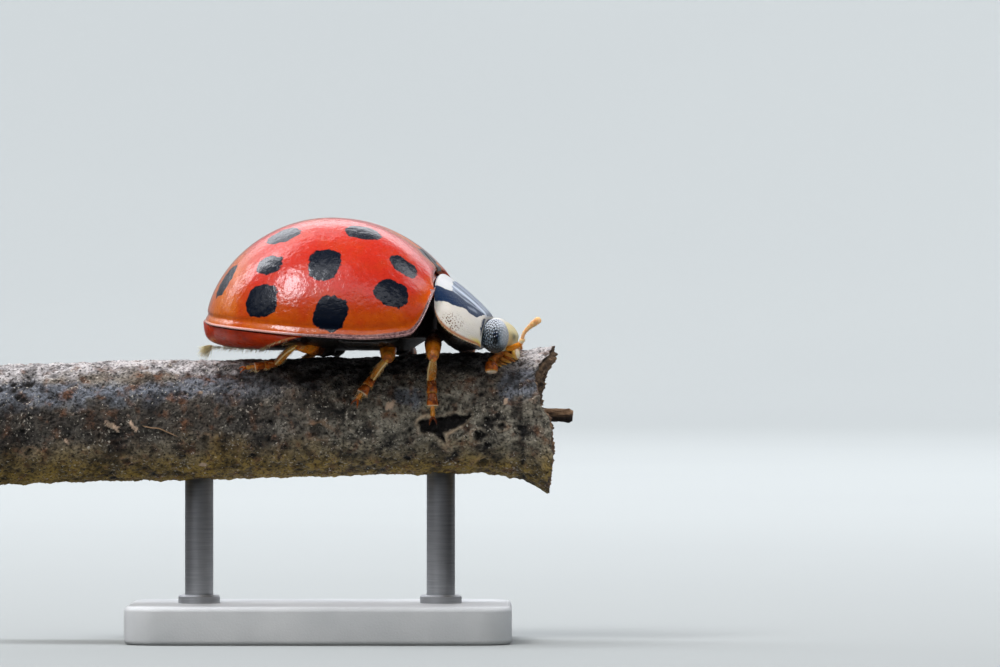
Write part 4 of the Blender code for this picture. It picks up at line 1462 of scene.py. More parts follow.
    def build_palp(self, side: Side) -> None:
        """Make one jaw palp: three joints, the last a hatchet with a pale cut end.

        Args:
            side: the side it is on.
        """
        stops = np.array(self.PALPS[side])
        draft = Draft(self.place)
        for (start, end), (thin, thick) in zip(zip(stops, stops[1:]), ((0.065, 0.085), (0.07, 0.105))):
            t = shares(12)
            radii = (thin + (thick - thin) * t) * (0.55 + 0.45 * np.sin(pi * np.clip(t, 0.12, 0.88)) ** 0.4)
            draft.tube(start + (end - start) * np.linspace(-0.05, 1.05, 12)[:, None], radii, 18,
                       gold=0.15 * t)
        start, end = stops[-2], stops[-1]
        t = shares(30)
        radii = np.interp(t, (0.0, 0.08, 0.25, 0.6, 0.85, 0.95, 1.0),
                          (0.04, 0.09, 0.13, 0.165, 0.15, 0.13, 0.09))
        draft.tube(start + (end - start) * (1.1 * t - 0.1)[:, None], radii, 26, 0.7, (0.25, side.value, 0.1),
                   pale=0.65 * ease(t, 0.88, 0.95), gold=0.6 * bell(t, 0.86, 0.04))
        draft.piece(f"jaw_palp_{side.word}", "amber", [f"palp_{side.word}"], 70.0)

    def build_mouth(self) -> None:
        """Make the upper lip, the jaws and the lower lip."""
        nod = Matrix.Rotation(radians(self.nod + 20.0), 3, "Y")
        draft = Draft(self.place)
        draft.ball((4.26, 0.0, -0.5), (0.16, 0.34, 0.15), nod, 18, 30, dark=0.55)
        draft.ball((4.14, 0.0, -0.6), (0.15, 0.26, 0.12), nod, 16, 26, dark=0.65)
        for y in (-1.0, 1.0):
            for start, middle, end, thick, gold, dark in self.MOUTH_LOBES:
                lobe = smooth_route([np.array(p) * (1.0, y, 1.0) for p in (start, middle, end)], 18)
                share = shares(18)
                radii = np.interp(share, (0.0, 0.3, 0.8, 1.0),
                                  (0.8 * thick, thick, 0.7 * thick, 0.25 * thick))
                draft.tube(lobe, radii, 14, 0.75, (0.3, 1.0, 0.0), gold=gold * share,
                           dark=dark * (1.0 - share), pale=0.5 * gold * ease(share, 0.8, 1.0))
        draft.piece("jaws_and_lower_lip", "amber", ["mouthparts"], 70.0)
        draft = Draft(self.place)
        way = sphere(30, 60)
        lip = way * np.array((0.085, 0.35, 0.155))
        lip = lip @ np.array(Matrix.Rotation(radians(-8.0), 3, "Y")).T + np.array((4.47, 0.0, -0.485))
        rim = np.sqrt((way[..., 1] * 0.98) ** 2 + (way[..., 2]) ** 2)
        draft.grid(lip, pale=0.95 * ease(rim, 0.86, 0.7), gold=ease(rim, 0.74, 0.9))
        bridge = way * np.array((0.07, 0.34, 0.08)) + np.array((4.43, 0.0, -0.31))
        gold, tan = 0.6 * ease(way[..., 0], 0.2, 0.7), ease(way[..., 2], -0.2, 0.5)
        draft.grid(bridge, tan=tan, gold=gold)
        draft.piece("upper_lip", "amber", (), 70.0)
        draw = Draw(47)
        coat = Bristles(self.place)
        for _ in range(self.lip_hairs):
            y = draw.uniform(-0.32, 0.32)
            z = draw.uniform(-0.62, -0.3)
            coat.add(np.array([4.5 - 0.25 * y * y, y, z]), (0.9, 0.5 * y, draw.uniform(-0.6, 0.1)),
                     draw.uniform(0.06, 0.12), 0.004, (0.5 + y, -z), 0.1)
        coat.piece("lip_setae", "amber")


# ---- legs

@dataclass(frozen=True)
class TwigLine:
    """The middle line and radius of the twig, in the model's frame."""

    radius: float = 1.416
    height: float = 5.372
    slope: float = 0.0237

    def over(self, along: float, turn: float, lift: float) -> Points:
        """A place off the bark."""
        out = self.radius + lift
        angle = radians(turn)
        return np.array([along, out * sin(angle), self.height + self.slope * along + out * cos(angle)])


@dataclass(frozen=True)
class Stance:
    """One leg's joints: hip and knee in the beetle's frame, ankle and toe on the bark."""

    hip: Triple
    knee: Triple
    ankle: Pair
    toe: Pair
    painted_shade_root: float = 0.0


# The last number of each stance is how far painted shade darkens the femur from the hip.
STANCES = {
    "front_right": Stance((2.66, -1.02, -0.1), (2.78, -1.72, -0.57), (2.69, -57.0), (2.72, -92.0), 0.6),
    "middle_right": Stance((1.56, -0.98, -0.34), (1.68, -1.65, -0.6), (1.3, -54.0), (0.93, -75.0), 0.5),
    "hind_right": Stance((-0.05, -0.75, -0.42), (-0.48, -1.7, -0.27), (-1.0, -34.0), (-1.74, -39.0), 0.45),
    "front_left": Stance((3.0, 1.0, -0.3), (3.05, 1.75, -0.42), (3.49, 62.0), (3.6, 81.0), 0.4),
    "middle_left": Stance((1.5, 0.95, -0.4), (1.6, 1.85, -0.5), (1.89, 58.0), (1.55, 77.0), 0.4),
    "hind_left": Stance((-0.05, 0.75, -0.42), (-0.5, 1.7, -0.28), (-0.66, 46.0), (-1.34, 52.0), 0.4)}


@dataclass
class Leg:
    """A leg from its coxa to its claws, with spurs, foot pads and golden hairs."""

    name: str
    stance: Stance
    place: Place
    twig: TwigLine = TwigLine()
    femur: float = 0.225
    tibia: float = 0.125
    foot: float = 0.125
    clearance: float = 0.05
    femur_hairs: int = 70
    tibia_hairs: int = 110
    foot_hairs: int = 60
    pad_hairs: int = 90

    def __post_init__(self) -> None:
        """Start the leg's hairs and its draws."""
        self.coat, self.draw = Bristles(self.place), Draw(sum(map(ord, self.name)))

    def on_bark(self, along: float, turn: float, lift: float) -> Points:
        """A place off the bark, in the beetle's frame."""
        return self.place.local(self.twig.over(along, turn, lift))

    def build(self) -> None:
        """Make every piece of the leg."""
        hip, knee = np.array(self.stance.hip), np.array(self.stance.knee)
        ankle = self.on_bark(*self.stance.ankle, self.foot + self.clearance)
        toe = self.on_bark(*self.stance.toe, self.foot * 0.6 + self.clearance)
        outward = unit(self.on_bark(*self.stance.ankle, 1.0) - self.on_bark(*self.stance.ankle, 0.0))
        self.build_femur(hip, knee)
        self.build_coxa(hip)
        self.build_tibia(knee, ankle, outward)
        self.build_foot(ankle, toe, outward)
        self.coat.piece(f"leg_{self.name}_setae", "amber")

    def build_coxa(self, hip: Points) -> None:
        """Make the socketed joint between the trunk and the femur."""
        draft = Draft(self.place)
        side = np.sign(hip[1])
        draft.ball(hip + (0.02, -0.16 * side, 0.04), (0.24, 0.34, 0.17), None, 16, 24)
        draft.ball(hip + (0.0, 0.1 * side, -0.02), (0.13, 0.16, 0.13), None, 14, 20)
        draft.piece(f"leg_{self.name}_coxa", "black_shell")

    def build_femur(self, hip: Points, knee: Points) -> None:
        """Make the thick upper joint, darkened with painted shade at its root under the body, and hollowed
        at the knee.
        """
        t = shares(40)
        route = hip + (knee - hip) * (t * 1.06 - 0.02)[:, None]
        route[:, 2] += 0.05 * np.sin(pi * t)
        radius = np.interp(t, (0, 0.12, 0.4, 0.75, 0.92, 1.0), (0.1, 0.16, self.femur, 0.19, 0.155, 0.11))
        # Painted shade: the femur darkens towards the hip, where the body shades it.
        dark = 0.92 * ease(t, self.stance.painted_shade_root + 0.15, self.stance.painted_shade_root - 0.1)
        draft = Draft(self.place)
        draft.tube(route, radius, 28, 0.92, (1.0, 0.0, 0.0), dark=dark, gold=0.3 * bell(t, 0.93, 0.05),
                   tan=0.5 * bell(t, 0.7, 0.15))
        draft.piece(f"leg_{self.name}_femur_shell", "amber", [f"leg_{self.name}_femur"])
        self.clothe(route, radius, self.femur_hairs, (0.0, 0.3), 0.09)

    def build_tibia(self, knee: Points, ankle: Points, outward: Points) -> None:
        """Make the shin: thin at the knee, keeled along its outer edges, with two end spurs.

        Args:
            knee: where it starts.
            ankle: where it ends.
            outward: the way off the bark.
        """
        t = shares(44)
        bow = outward * (0.06 * np.sin(pi * t))[:, None]
        route = knee + (ankle - knee) * t[:, None] + bow
        radius = np.interp(t, (0, 0.06, 0.25, 0.6, 0.9, 0.97, 1.0),
                           (0.05, 0.07, 0.09, self.tibia, 0.125, 0.125, 0.09))
        ahead = unit(ankle - knee)
        across = unit(np.cross(ahead, outward))
        draft = Draft(self.place)
        draft.tube(route, radius, 26, 0.72, outward, gold=0.25 + 0.35 * ease(t, 0.6, 0.2))
        for way in (-1.0, 1.0):
            keel = route + across * way * (radius * 0.98)[:, None]
            inside = (t > 0.08) & (t < 0.97)
            draft.tube(keel[inside], np.full(inside.sum(), 0.02), 8, gold=0.95, pale=0.35)
            spur = ankle + across * way * 0.1
            tip = spur + ahead * 0.16 + across * way * 0.05 + outward * 0.02
            s = shares(8)
            draft.tube(spur + (tip - spur) * s[:, None], 0.026 * (1.0 - 0.9 * s), 8, gold=0.9)
        draft.piece(f"leg_{self.name}_tibia_shell", "amber", [f"leg_{self.name}_tibia"], 70.0)
        self.clothe(route, radius, self.tibia_hairs, (0.33, 0.3), 0.085)

    def build_foot(self, ankle: Points, toe: Points, outward: Points) -> None:
        """Make the foot's joints with their white pads, then the claws.

        Args:
            ankle: where it starts.
            toe: where it ends.
            outward: the way off the bark.
        """
        middle = tuple((a + b) / 2 for a, b in zip(self.stance.ankle, self.stance.toe))
        between = self.on_bark(*middle, self.foot * 0.85 + self.clearance)
        line = smooth_route((ankle, between, toe), 60)
        t = shares(60)
        draft = Draft(self.place)
        for start, end, thin, thick, pad in ((0.0, 0.42, 0.1, 0.125, 0.0), (0.38, 0.74, 0.1, 0.14, 0.7)):
            part = (t >= start) & (t <= end)
            share = (t[part] - start) / (end - start)
            radius = np.interp(share, (0, 0.1, 0.8, 0.95, 1.0),
                               (thin * 0.6, thin, thick, thick * 0.98, thick * 0.7))
            draft.tube(line[part], radius, 24, 0.62, outward, gold=0.3 * bell(share, 0.93, 0.06),
                       pale=pad * ease(share, 0.86, 0.98), dark=0.2 * ease(share, 0.9, 0.5))
            self.add_pads(line[part], radius, outward)
        last = t >= 0.66
        share = (t[last] - 0.66) / 0.34
        radius = np.interp(share, (0, 0.2, 0.9, 1), (0.03, 0.045, 0.06, 0.045))
        draft.tube(line[last] + outward * 0.02, radius, 16, 0.8, outward, gold=0.35)
        draft.piece(f"leg_{self.name}_foot", "amber", [f"leg_{self.name}_tarsus"], 70.0)
        self.clothe(line, np.full(60, 0.11), self.foot_hairs, (0.66, 0.3), 0.07)
        self.build_claws(line, outward)

    def build_claws(self, line: Points, outward: Points) -> None:
        """Make the two curved claws, each with a tooth at its base.

        Args:
            line: points along the foot.
            outward: the way off the bark.
        """
        ahead = unit(line[-1] - line[-6])
        across = unit(np.cross(ahead, outward))
        draft = Draft(self.place)
        root = line[-1] + outward * 0.02
        for way in (-1.0, 1.0):
            stops = (root, root + ahead * 0.07 + across * way * 0.045 + outward * 0.015,
                     root + ahead * 0.14 + across * way * 0.08 - outward * 0.015,
                     root + ahead * 0.17 + across * way * 0.09 - outward * 0.075)
            hook = smooth_route(stops, 16)
            radius = np.interp(shares(16), (0, 0.3, 1), (0.032, 0.028, 0.004))
            draft.tube(hook, radius, 10, dark=np.linspace(0.1, 0.55, 16))
            base = hook[4]
            tooth = smooth_route((base, base - outward * 0.035 + ahead * 0.01, base - outward * 0.06), 7)
            draft.tube(tooth, np.linspace(0.022, 0.004, 7), 8, dark=0.4)
        draft.piece(f"leg_{self.name}_claws", "amber", (), 70.0)

    def add_pads(self, line: Points, radius: Points, outward: Points) -> None:
        """Set the dense white brush under a joint of the foot."""
        ahead = unit(line[-1] - line[0])
        across = unit(np.cross(ahead, outward))
        for _ in range(self.pad_hairs):
            k = min(int(len(line) * self.draw.uniform(0.55, 1.0)), len(line) - 1)
            side = self.draw.uniform(-1.0, 1.0)
            root = line[k] + across * side * radius[k] * 0.95 - outward * radius[k] * 0.3
            heading = ahead * self.draw.uniform(0.5, 1.2) - outward * 0.55 + across * side * 0.6
            spot = (0.66 + 0.3 * (side + 1) / 2, k / 64)
            self.coat.add(root, heading, self.draw.uniform(0.045, 0.09), 0.006, spot, 0.0)

    def clothe(self, route: Points, radius: Points, count: int, strip: Pair, length: float) -> None:
        """Set hairs all round a joint, lying towards the foot."""
        for _ in range(count):
            k = int(self.draw.uniform(3, len(route) - 2))
            turn = self.draw.uniform(0.0, 2 * pi)
            ahead, out = out_of(route, k, turn, (0.3, 0.2, 0.93))
            spot = (strip[0] + strip[1] * turn / (2 * pi), 0.98 * k / len(route))
            self.coat.add(route[k] + out * radius[k] * 0.8, ahead + out * 0.5,
                          length * self.draw.uniform(0.6, 1.2), 0.0045, spot, 0.1)


# ---- twig

@dataclass
class Twig:
    """A cut length of dead twig, sawn at one end and broken off at the other."""

    line: TwigLine
    cut_end: float
    broken_end: float = 5.3
    flare_start: float = 3.7
    flare_length: float = 1.6
    flare_above: float = 0.1
    flare_below: float = 0.45
    fray: float = 0.035
    rows: int = 440
    columns: int = 300
    spur_place: Pair = (0.3, 5.41)
    spur_radius: float = 0.17
    spur_tip: float = 6.07
    year_ring: float = 0.17

    LENTICELS = (
        (0.0, -103.0, 0.3), (3.8, -112.0, 0.22), (3.86, -146.0, 0.26), (4.36, -103.0, 0.16),
        (-6.9, -118.0, 0.18), (-2.7, -108.0, 0.15), (-4.6, -130.0, 0.16), (0.0, -79.0, 0.1),
        (1.9, 150.0, 0.12), (-3.6, 70.0, 0.15), (4.4, 150.0, 0.12))
    FLAKES = (
        (-4.92, -94.0, 0.2, 0.07, 0.5), (-4.42, -94.0, 0.16, 0.05, 0.8), (-2.76, -137.0, 0.09, 0.06, 0.1),
        (-2.82, -63.0, 0.06, 0.04, 0.4), (1.7, -80.0, 0.1, 0.12, 0.2), (4.46, -79.0, 0.05, 0.07, 0.0),
        (-6.0, -108.0, 0.12, 0.03, 0.8))
    # Patches of painted sky sheen: place along, angle round, and their sizes along and round.
    SKY_SHEEN_PATCHES = (
        (-5.2, -60.0, 4.4, 16.0), (-2.6, -50.0, 1.2, 9.0), (2.2, -72.0, 0.45, 12.0),
        (4.8, -62.0, 0.55, 17.0))

    BREAK_REACH = (
        (0, 5.6), (30, 5.5), (70, 5.3), (110, 5.35), (150, 5.5), (180, 5.47), (210, 5.5), (240, 5.58),
        (262, 5.5), (278, 5.3), (300, 5.14), (318, 5.25), (335, 5.52), (360, 5.6))
    FRAYS = ((0.5, 11, 2.0), (0.4, 23, 1.0), (0.3, 37, 0.4), (0.25, 61, 0.0))
    SCARS = ((4.45, 0.09, 0.035), (4.75, 0.05, -0.02), (-3.1, 0.1, 0.018), (2.2, 0.12, 0.015))
    PEELS = (
        ((2.57, 2.5, 0.15), (2.82, 2.52, 0.17), (3.1, 2.46, 0.15), (3.35, 2.38, 0.11), (3.6, 2.28, 0.09)),
        ((2.85, 2.62, 0.1), (2.98, 2.85, 0.06), (3.08, 3.06, 0.03)))
    FIBRE = ((-4.2, -94.0), (-4.0, -96.0), (-3.8, -97.0), (-3.58, -101.0), (-3.36, -105.0))

    def edge(self, turn: Points) -> Points:
        """Where the broken end is at an angle round the twig."""
        reach, place = np.array(self.BREAK_REACH).T[::-1]
        mean = np.interp(np.degrees(turn) % 360.0, place, reach)
        waves = [height * np.sin(count * turn + start) for height, count, start in self.FRAYS]
        return mean + self.fray * sum(waves)

    def build(self) -> None:
        """Make the twig, the spur in its broken end and its loose fibre."""
        turn = circle(self.columns)[None, :]
        along = shares(self.rows)[:, None]
        end = self.edge(turn)
        x = self.cut_end + (end - self.cut_end) * along
        growth = (np.clip(x - self.flare_start, 0.0, None) / self.flare_length) ** 2
        growth *= self.flare_above + (self.flare_below - self.flare_above) * np.sin(turn / 2) ** 4
        skin = xyz(x, self.line.radius * np.sin(turn), self.line.radius * np.cos(turn))
        relief, marks = self.relief(x, turn, skin)
        radius = self.line.radius + growth + relief
        chamfer = 0.05 * np.clip(1.0 - (x - self.cut_end) / 0.05, 0.0, None) ** 2
        rings = self.ring(x, turn, radius - chamfer)
        draft = Draft()
        draft.grid(rings, **marks)
        self.add_cut_face(draft, rings[0], turn)
        self.add_broken_face(draft, rings[-1], radius[-1:], turn)
        draft.piece("perch_bark_and_wood", "bark", ["perch_twig"], 60.0)
        self.build_spur()
        self.build_fibre()

    def ring(self, x: Points, turn: Points, radius: Points) -> Points:
        """Places round the middle line."""
        x, turn, radius = np.broadcast_arrays(x, turn, radius)
        height = self.line.height + self.line.slope * x
        return xyz(x, radius * np.sin(turn), height + radius * np.cos(turn))

    def relief(self, x: Points, turn: Points, skin: Points) -> tuple[Points, dict[str, Points]]:
        """The bark's lumps, scars, pores and the patch where it peeled.

        Args:
            x: place of each point along the twig.
            turn: its angle round it.
            skin: its place on the bare cylinder, for the noise.

        Returns:
            The relief, and the marks that the bark's finish reads.
        """
        lumps = rough(skin, 2.4, 2, 5.0)
        knobs = rough(skin, 0.42, 3, 11.0)
        grains = rough(skin, 0.13, 3, 17.0)
        crust = np.abs(rough(skin, 0.24, 3, 23.0))
        relief = 0.035 * lumps + 0.04 * knobs + 0.026 * grains + 0.05 * (0.35 - crust)
        for place, width, height in self.SCARS:
            relief += height * bell(x + 0.12 * np.sin(turn + 1.0) + 0.04 * knobs, place, width)
        angles = (np.degrees(turn) + 180.0) % 360.0 - 180.0
        down = np.radians(angles) * self.line.radius
        lenticel, flake, slate, scar = (0 * relief for _ in range(4))
        for place, angle, size in self.LENTICELS:
            a = (x - place) / size
            b = (down - radians(angle) * self.line.radius) / (0.8 * size)
            away = np.hypot(a, b) + 0.25 * grains + 0.2 * knobs
            relief += 0.035 * bell(away, 0.9, 0.25) - 0.15 * size * bell(away, 0.0, 0.6)
            lenticel = np.maximum(lenticel, 0.45 * bell(away, 0.98, 0.14) * ease(knobs, -0.5, 0.3))
            scar = np.maximum(scar, 0.8 * ease(away, 0.9, 0.5))
        for place, angle, length, width, lean in self.FLAKES:
            a, b = x - place, down - radians(angle) * self.line.radius
            a, b = a * cos(lean) - b * sin(lean), a * sin(lean) + b * cos(lean)
            patch = ease(np.maximum(np.abs(a) / length, np.abs(b) / width) + 0.5 * grains, 1.0, 0.8)
            flake = np.maximum(flake, patch)
            relief += 0.03 * patch
        # Blue-grey patches of painted sky sheen on the upper front of the bark.
        for place, angle, length, width in self.SKY_SHEEN_PATCHES:
            away = np.hypot((x - place) / length, (angles - angle) / width) + 0.5 * knobs + 0.5 * lumps
            slate = np.maximum(slate, 0.85 * ease(away, 1.2, 0.5))
        peel, lip = self.peel(x, angles, knobs)
        relief += -0.06 * peel + 0.055 * lip
        # Painted light by how far round from the top a place is: a paler top for sky light, and an olive
        # underside that is partly painted green bounce light.
        steep = np.abs(angles) + 16.0 * lumps + 9.0 * knobs
        near_end = ease(x, -2.0, 1.5)
        # Painted shadow: near-black bark where the beetle's shadow falls, under its body.
        damp = ease(steep, 8.0, 20.0) * ease(steep, 58.0, 40.0) * ease(x, -2.6, -1.0) * ease(x, 4.3, 3.4)
        damp = damp * ease(-angles + 0 * x, -5.0, 5.0)
        # Painted shade: a dark band low on the side, away from the light.
        dusk = 0.6 * ease(steep, 62.0, 78.0) * ease(steep, 128.0, 98.0) * (1.0 - near_end)
        return relief, {"raised": relief / 0.06, "under": 0.9 * ease(steep, 104.0, 150.0) + 0 * x,
                        "over": 0.8 * ease(steep, 54.0, 34.0), "slate": slate, "dusk": dusk,
                        "pale_end": 0.8 * near_end * ease(steep, 50.0, 90.0), "damp": 0.8 * damp,
                        "lenticel": lenticel * (1 - peel), "flake": flake,
                        "peel": np.maximum(0.92 * peel, scar * (0.6 + 0.5 * grains)), "lip": lip}

    def peel(self, x: Points, angle: Points, knobs: Points) -> tuple[Points, Points]:
        """The dark patch where bark came off, and the curled lip round it."""
        across = x
        down = -np.radians(angle) * self.line.radius
        patch = np.minimum.reduce([stroke(across, down, strip) for strip in self.PEELS]) + 0.1 * knobs
        curl = np.maximum(bell(np.hypot(across - 3.24, down - 2.8), 0.0, 0.26),
                          bell(np.hypot(across - 2.5, down - 2.22), 0.0, 0.24))
        return ease(patch, 0.02, -0.03), bell(patch, 0.05, 0.035) * np.clip(0.15 + 1.2 * curl, 0.0, 1.0)

    def add_cut_face(self, draft: Draft, rim: Points, turn: Points) -> None:
        """Close the sawn end with rings, rays and a pith."""
        share = np.linspace(1.0, 0.0, 46)[:, None]
        middle = np.array([self.cut_end, 0.0, self.line.height + self.line.slope * self.cut_end])
        face = middle + (rim[None] - middle) * share[..., None]
        radius = share * self.line.radius + 0 * turn
        ring = 0.5 + 0.5 * np.cos(radius * 2 * pi / self.year_ring + 0.5 * np.sin(3 * turn))
        bark = ease(radius, 1.26, 1.32)
        pith = ease(radius, 0.2, 0.12)
        fine = rough(face, 0.06, 2, 3.0)
        face[..., 0] += 0.006 * fine + 0.02 * pith
        face[0] = rim
        draft.grid(face, slot=1, ring=np.clip(0.5 * ring + pith, 0, 1), dirt=0.85 * bark)

    def add_broken_face(self, draft: Draft, rim: Points, radius: Points, turn: Points) -> None:
        """Close the broken end with torn fibres round a hollow heart."""
        share = np.linspace(1.0, 0.0, 60)[:, None]
        x = rim[None, :, 0] - 0.24 * ease(share, 0.8, 0.6) - 0.05 * bell(share, 0.92, 0.03)
        face = self.ring(x, turn, radius * share)
        fibres = rough(xyz(0.0, face[..., 1], face[..., 2]), 0.1, 3, 29.0)
        mean = x.mean()
        x = mean + (x - mean) * np.clip(share * 1.4, 0.0, 1.0)
        x = x + 0.1 * np.abs(fibres) * ease(share, 1.0, 0.9) * np.clip(share * 2.0, 0.3, 1.0)
        face[..., 0] = x
        face[0] = rim
        dirt = 0.35 + 0.5 * fibres + 0.6 * ease(share, 0.9, 1.0) + 0.35 * ease(share, 0.7, 0.2)
        draft.grid(face, slot=1, ring=0.5 + 0.5 * fibres, dirt=np.clip(dirt, 0, 1))

    def build_spur(self) -> None:
        """Make the spur of torn wood that stands out of the broken end."""
        t = shares(60)
        start, tip = self.broken_end - 0.45, self.spur_tip
        y, z = self.spur_place
        route = xyz(start + (tip - start) * t, y, z - 0.03 + 0.04 * np.sin(pi * t))
        radius = self.spur_radius * np.interp(t, (0, 0.7, 0.93, 1.0), (0.95, 0.9, 0.98, 0.72))
        draft = Draft()
        draft.tube(route, radius, 48)
        points = draft.points[0].reshape(-1, 3)
        fibres = rough(points * (0.15, 1.0, 1.0), 0.06, 3, 7.0)
        middle = np.array([0.0, y, z])
        out = unit((points - middle) * (0.0, 1.0, 1.0))
        points += out * (0.035 * fibres)[:, None]
        draft.marks[0][2]["dirt"] = np.clip(0.5 - 1.2 * out[:, 2] + 0.5 * fibres, 0.0, 1.0)
        draft.marks[0][2]["ring"] = np.clip(0.5 + fibres, 0.0, 1.0)
        draft.piece("perch_torn_spur", "wood", ["perch_spur"], 60.0)

    def build_fibre(self) -> None:
        """Make the fine bast fibre that lies on the bark."""
        route = smooth_route([self.line.over(x, turn, 0.05) for x, turn in self.FIBRE], 60)
        radius = np.interp(shares(60), (0, 0.1, 0.9, 1), (0.004, 0.014, 0.012, 0.004))
        draft = Draft()
        draft.tube(route, radius, 8, ring=0.0, dirt=0.0)
        draft.piece("perch_bast_fibre", "wood")


# ---- stand

@dataclass
class Stand:
    """A plain plate and two rods that hold the twig."""

    line: TwigLine
    corner: float = 0.9
    edge: float = 0.12
    rod: float = 0.34
    collar: float = 0.5

    def build(self) -> None:
        """Make the plate, then a rod with a collar at each CAD rod's place."""
        low, high = (np.array(corner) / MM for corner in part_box("stand_base"))
        self.build_plate(low, high)
        for node in ("stand_rod_rear", "stand_rod_front"):
            bottom, top = (np.array(corner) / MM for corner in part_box(node))
            self.build_rod(node, (bottom[0] + top[0]) / 2, high[2])

    def build_plate(self, low: Points, high: Points) -> None:
        """Make the plate: a rounded rectangle with eased edges.

        Args:
            low: its lowest corner.
            high: its highest corner.
        """
        outline = []
        for quarter in range(4):
            sx, sy = ((1, 1), (-1, 1), (-1, -1), (1, -1))[quarter]
            for angle in np.linspace(0.0, pi / 2, 20) + quarter * pi / 2:
                outline.append((sx, sy, cos(angle), sin(angle)))
        corners = np.array(outline)
        middle = (low + high) / 2
        rings = []
        for inset, z in self.plate_profile(high[2] - low[2]):
            reach = (high - low)[:2] / 2 - self.corner
            round_ = max(self.corner - inset, 0.0)
            shrink = max(inset - self.corner, 0.0)
            x = middle[0] + corners[:, 0] * (reach[0] - shrink) + corners[:, 2] * round_
            y = middle[1] + corners[:, 1] * (reach[1] - shrink) + corners[:, 3] * round_
            rings.append(xyz(x, y, low[2] + z))
        draft = Draft()
        draft.grid(np.array(rings), Ends.BOTH)
        draft.piece("stand_plate", "stand_plate", ["stand_base"], 35.0)

    def plate_profile(self, height: float) -> list[Pair]:
        """Insets and heights from the underside up over the eased edges."""
        steps = np.linspace(0.0, pi / 2, 7)
        lower = [(self.edge * (1 - sin(a)), self.edge * (1 - cos(a))) for a in steps]
        upper = [(self.edge * (1 - cos(a)), height - self.edge * (1 - sin(a))) for a in steps]
        return [(0.6, 0.0), *lower, *upper, (0.5, height), (0.8, height)]

    def build_rod(self, node: str, x: float, floor: float) -> None:
        """Make one rod: a collar on the plate and the shaft, whose flat top ends just inside the twig."""
        top = self.line.height + self.line.slope * x - self.line.radius + 0.06
        profile = ((0.0, 0.0), (self.collar, 0.0), (self.collar, 0.16), (self.collar - 0.04, 0.2),
                   (self.rod, 0.2), (self.rod, 0.23), (self.rod, top - floor - 0.05),
                   (self.rod - 0.03, top - floor), (0.0, top - floor))
        turn = circle(72)
        rings = [xyz(x + r * np.cos(turn), r * np.sin(turn), floor + z) for r, z in profile]
        draft = Draft()
        draft.grid(np.array(rings))
        draft.piece(f"{node}_shaft", "stand_rod", [node], 30.0)


# ---- studio

@dataclass(frozen=True)
class Glow:
    """A soft oval patch of light in the room: its place, half sizes and lean in degrees."""

    azimuth: float
    elevation: float
    tall: float
    wide: float
    radiance: float
    soft: float = 0.7
    lean: float = 0.0

    def frame(self) -> Matrix:
        """Axes of the patch: up its length, across it, and towards its middle."""
        turn, up = radians(self.azimuth), radians(self.elevation)
        middle = Vector((cos(up) * cos(turn), cos(up) * sin(turn), sin(up)))
        length = Vector((-sin(up) * cos(turn), -sin(up) * sin(turn), cos(up)))
        length.rotate(Matrix.Rotation(radians(self.lean), 3, middle))
        return Matrix((length, middle.cross(length), middle)).transposed()

    def lay(self, tree: NodeTree, way: Socket) -> Socket:
        """Lay the nodes of the patch."""
        size = (sin(radians(self.tall)), sin(radians(self.wide)), 1.0)
        turned = add(tree, "Mapping", {"Vector": way, "Rotation": self.frame().to_euler(), "Scale": size},
                     vector_type="TEXTURE")
        flat = add(tree, "VectorMath", {0: turned, 1: (1.0, 1.0, 0.0)}, operation="MULTIPLY")
        away = add(tree, "VectorMath", {0: flat}, operation="LENGTH", out="Value")
        bright = add(tree, "MapRange",
                     {0: away, 1: 1.0 + self.soft, 2: 1.0 - self.soft, 3: 0.0, 4: self.radiance},
                     interpolation_type="SMOOTHSTEP")
        before = {0: turned, 1: (0.0, 0.0, 1.0)}
        ahead = add(tree, "VectorMath", before, operation="DOT_PRODUCT", out="Value")
        facing = add(tree, "Math", {0: ahead, 1: 0.0}, operation="GREATER_THAN")
        return add(tree, "Math", {0: bright, 1: facing}, operation="MULTIPLY")


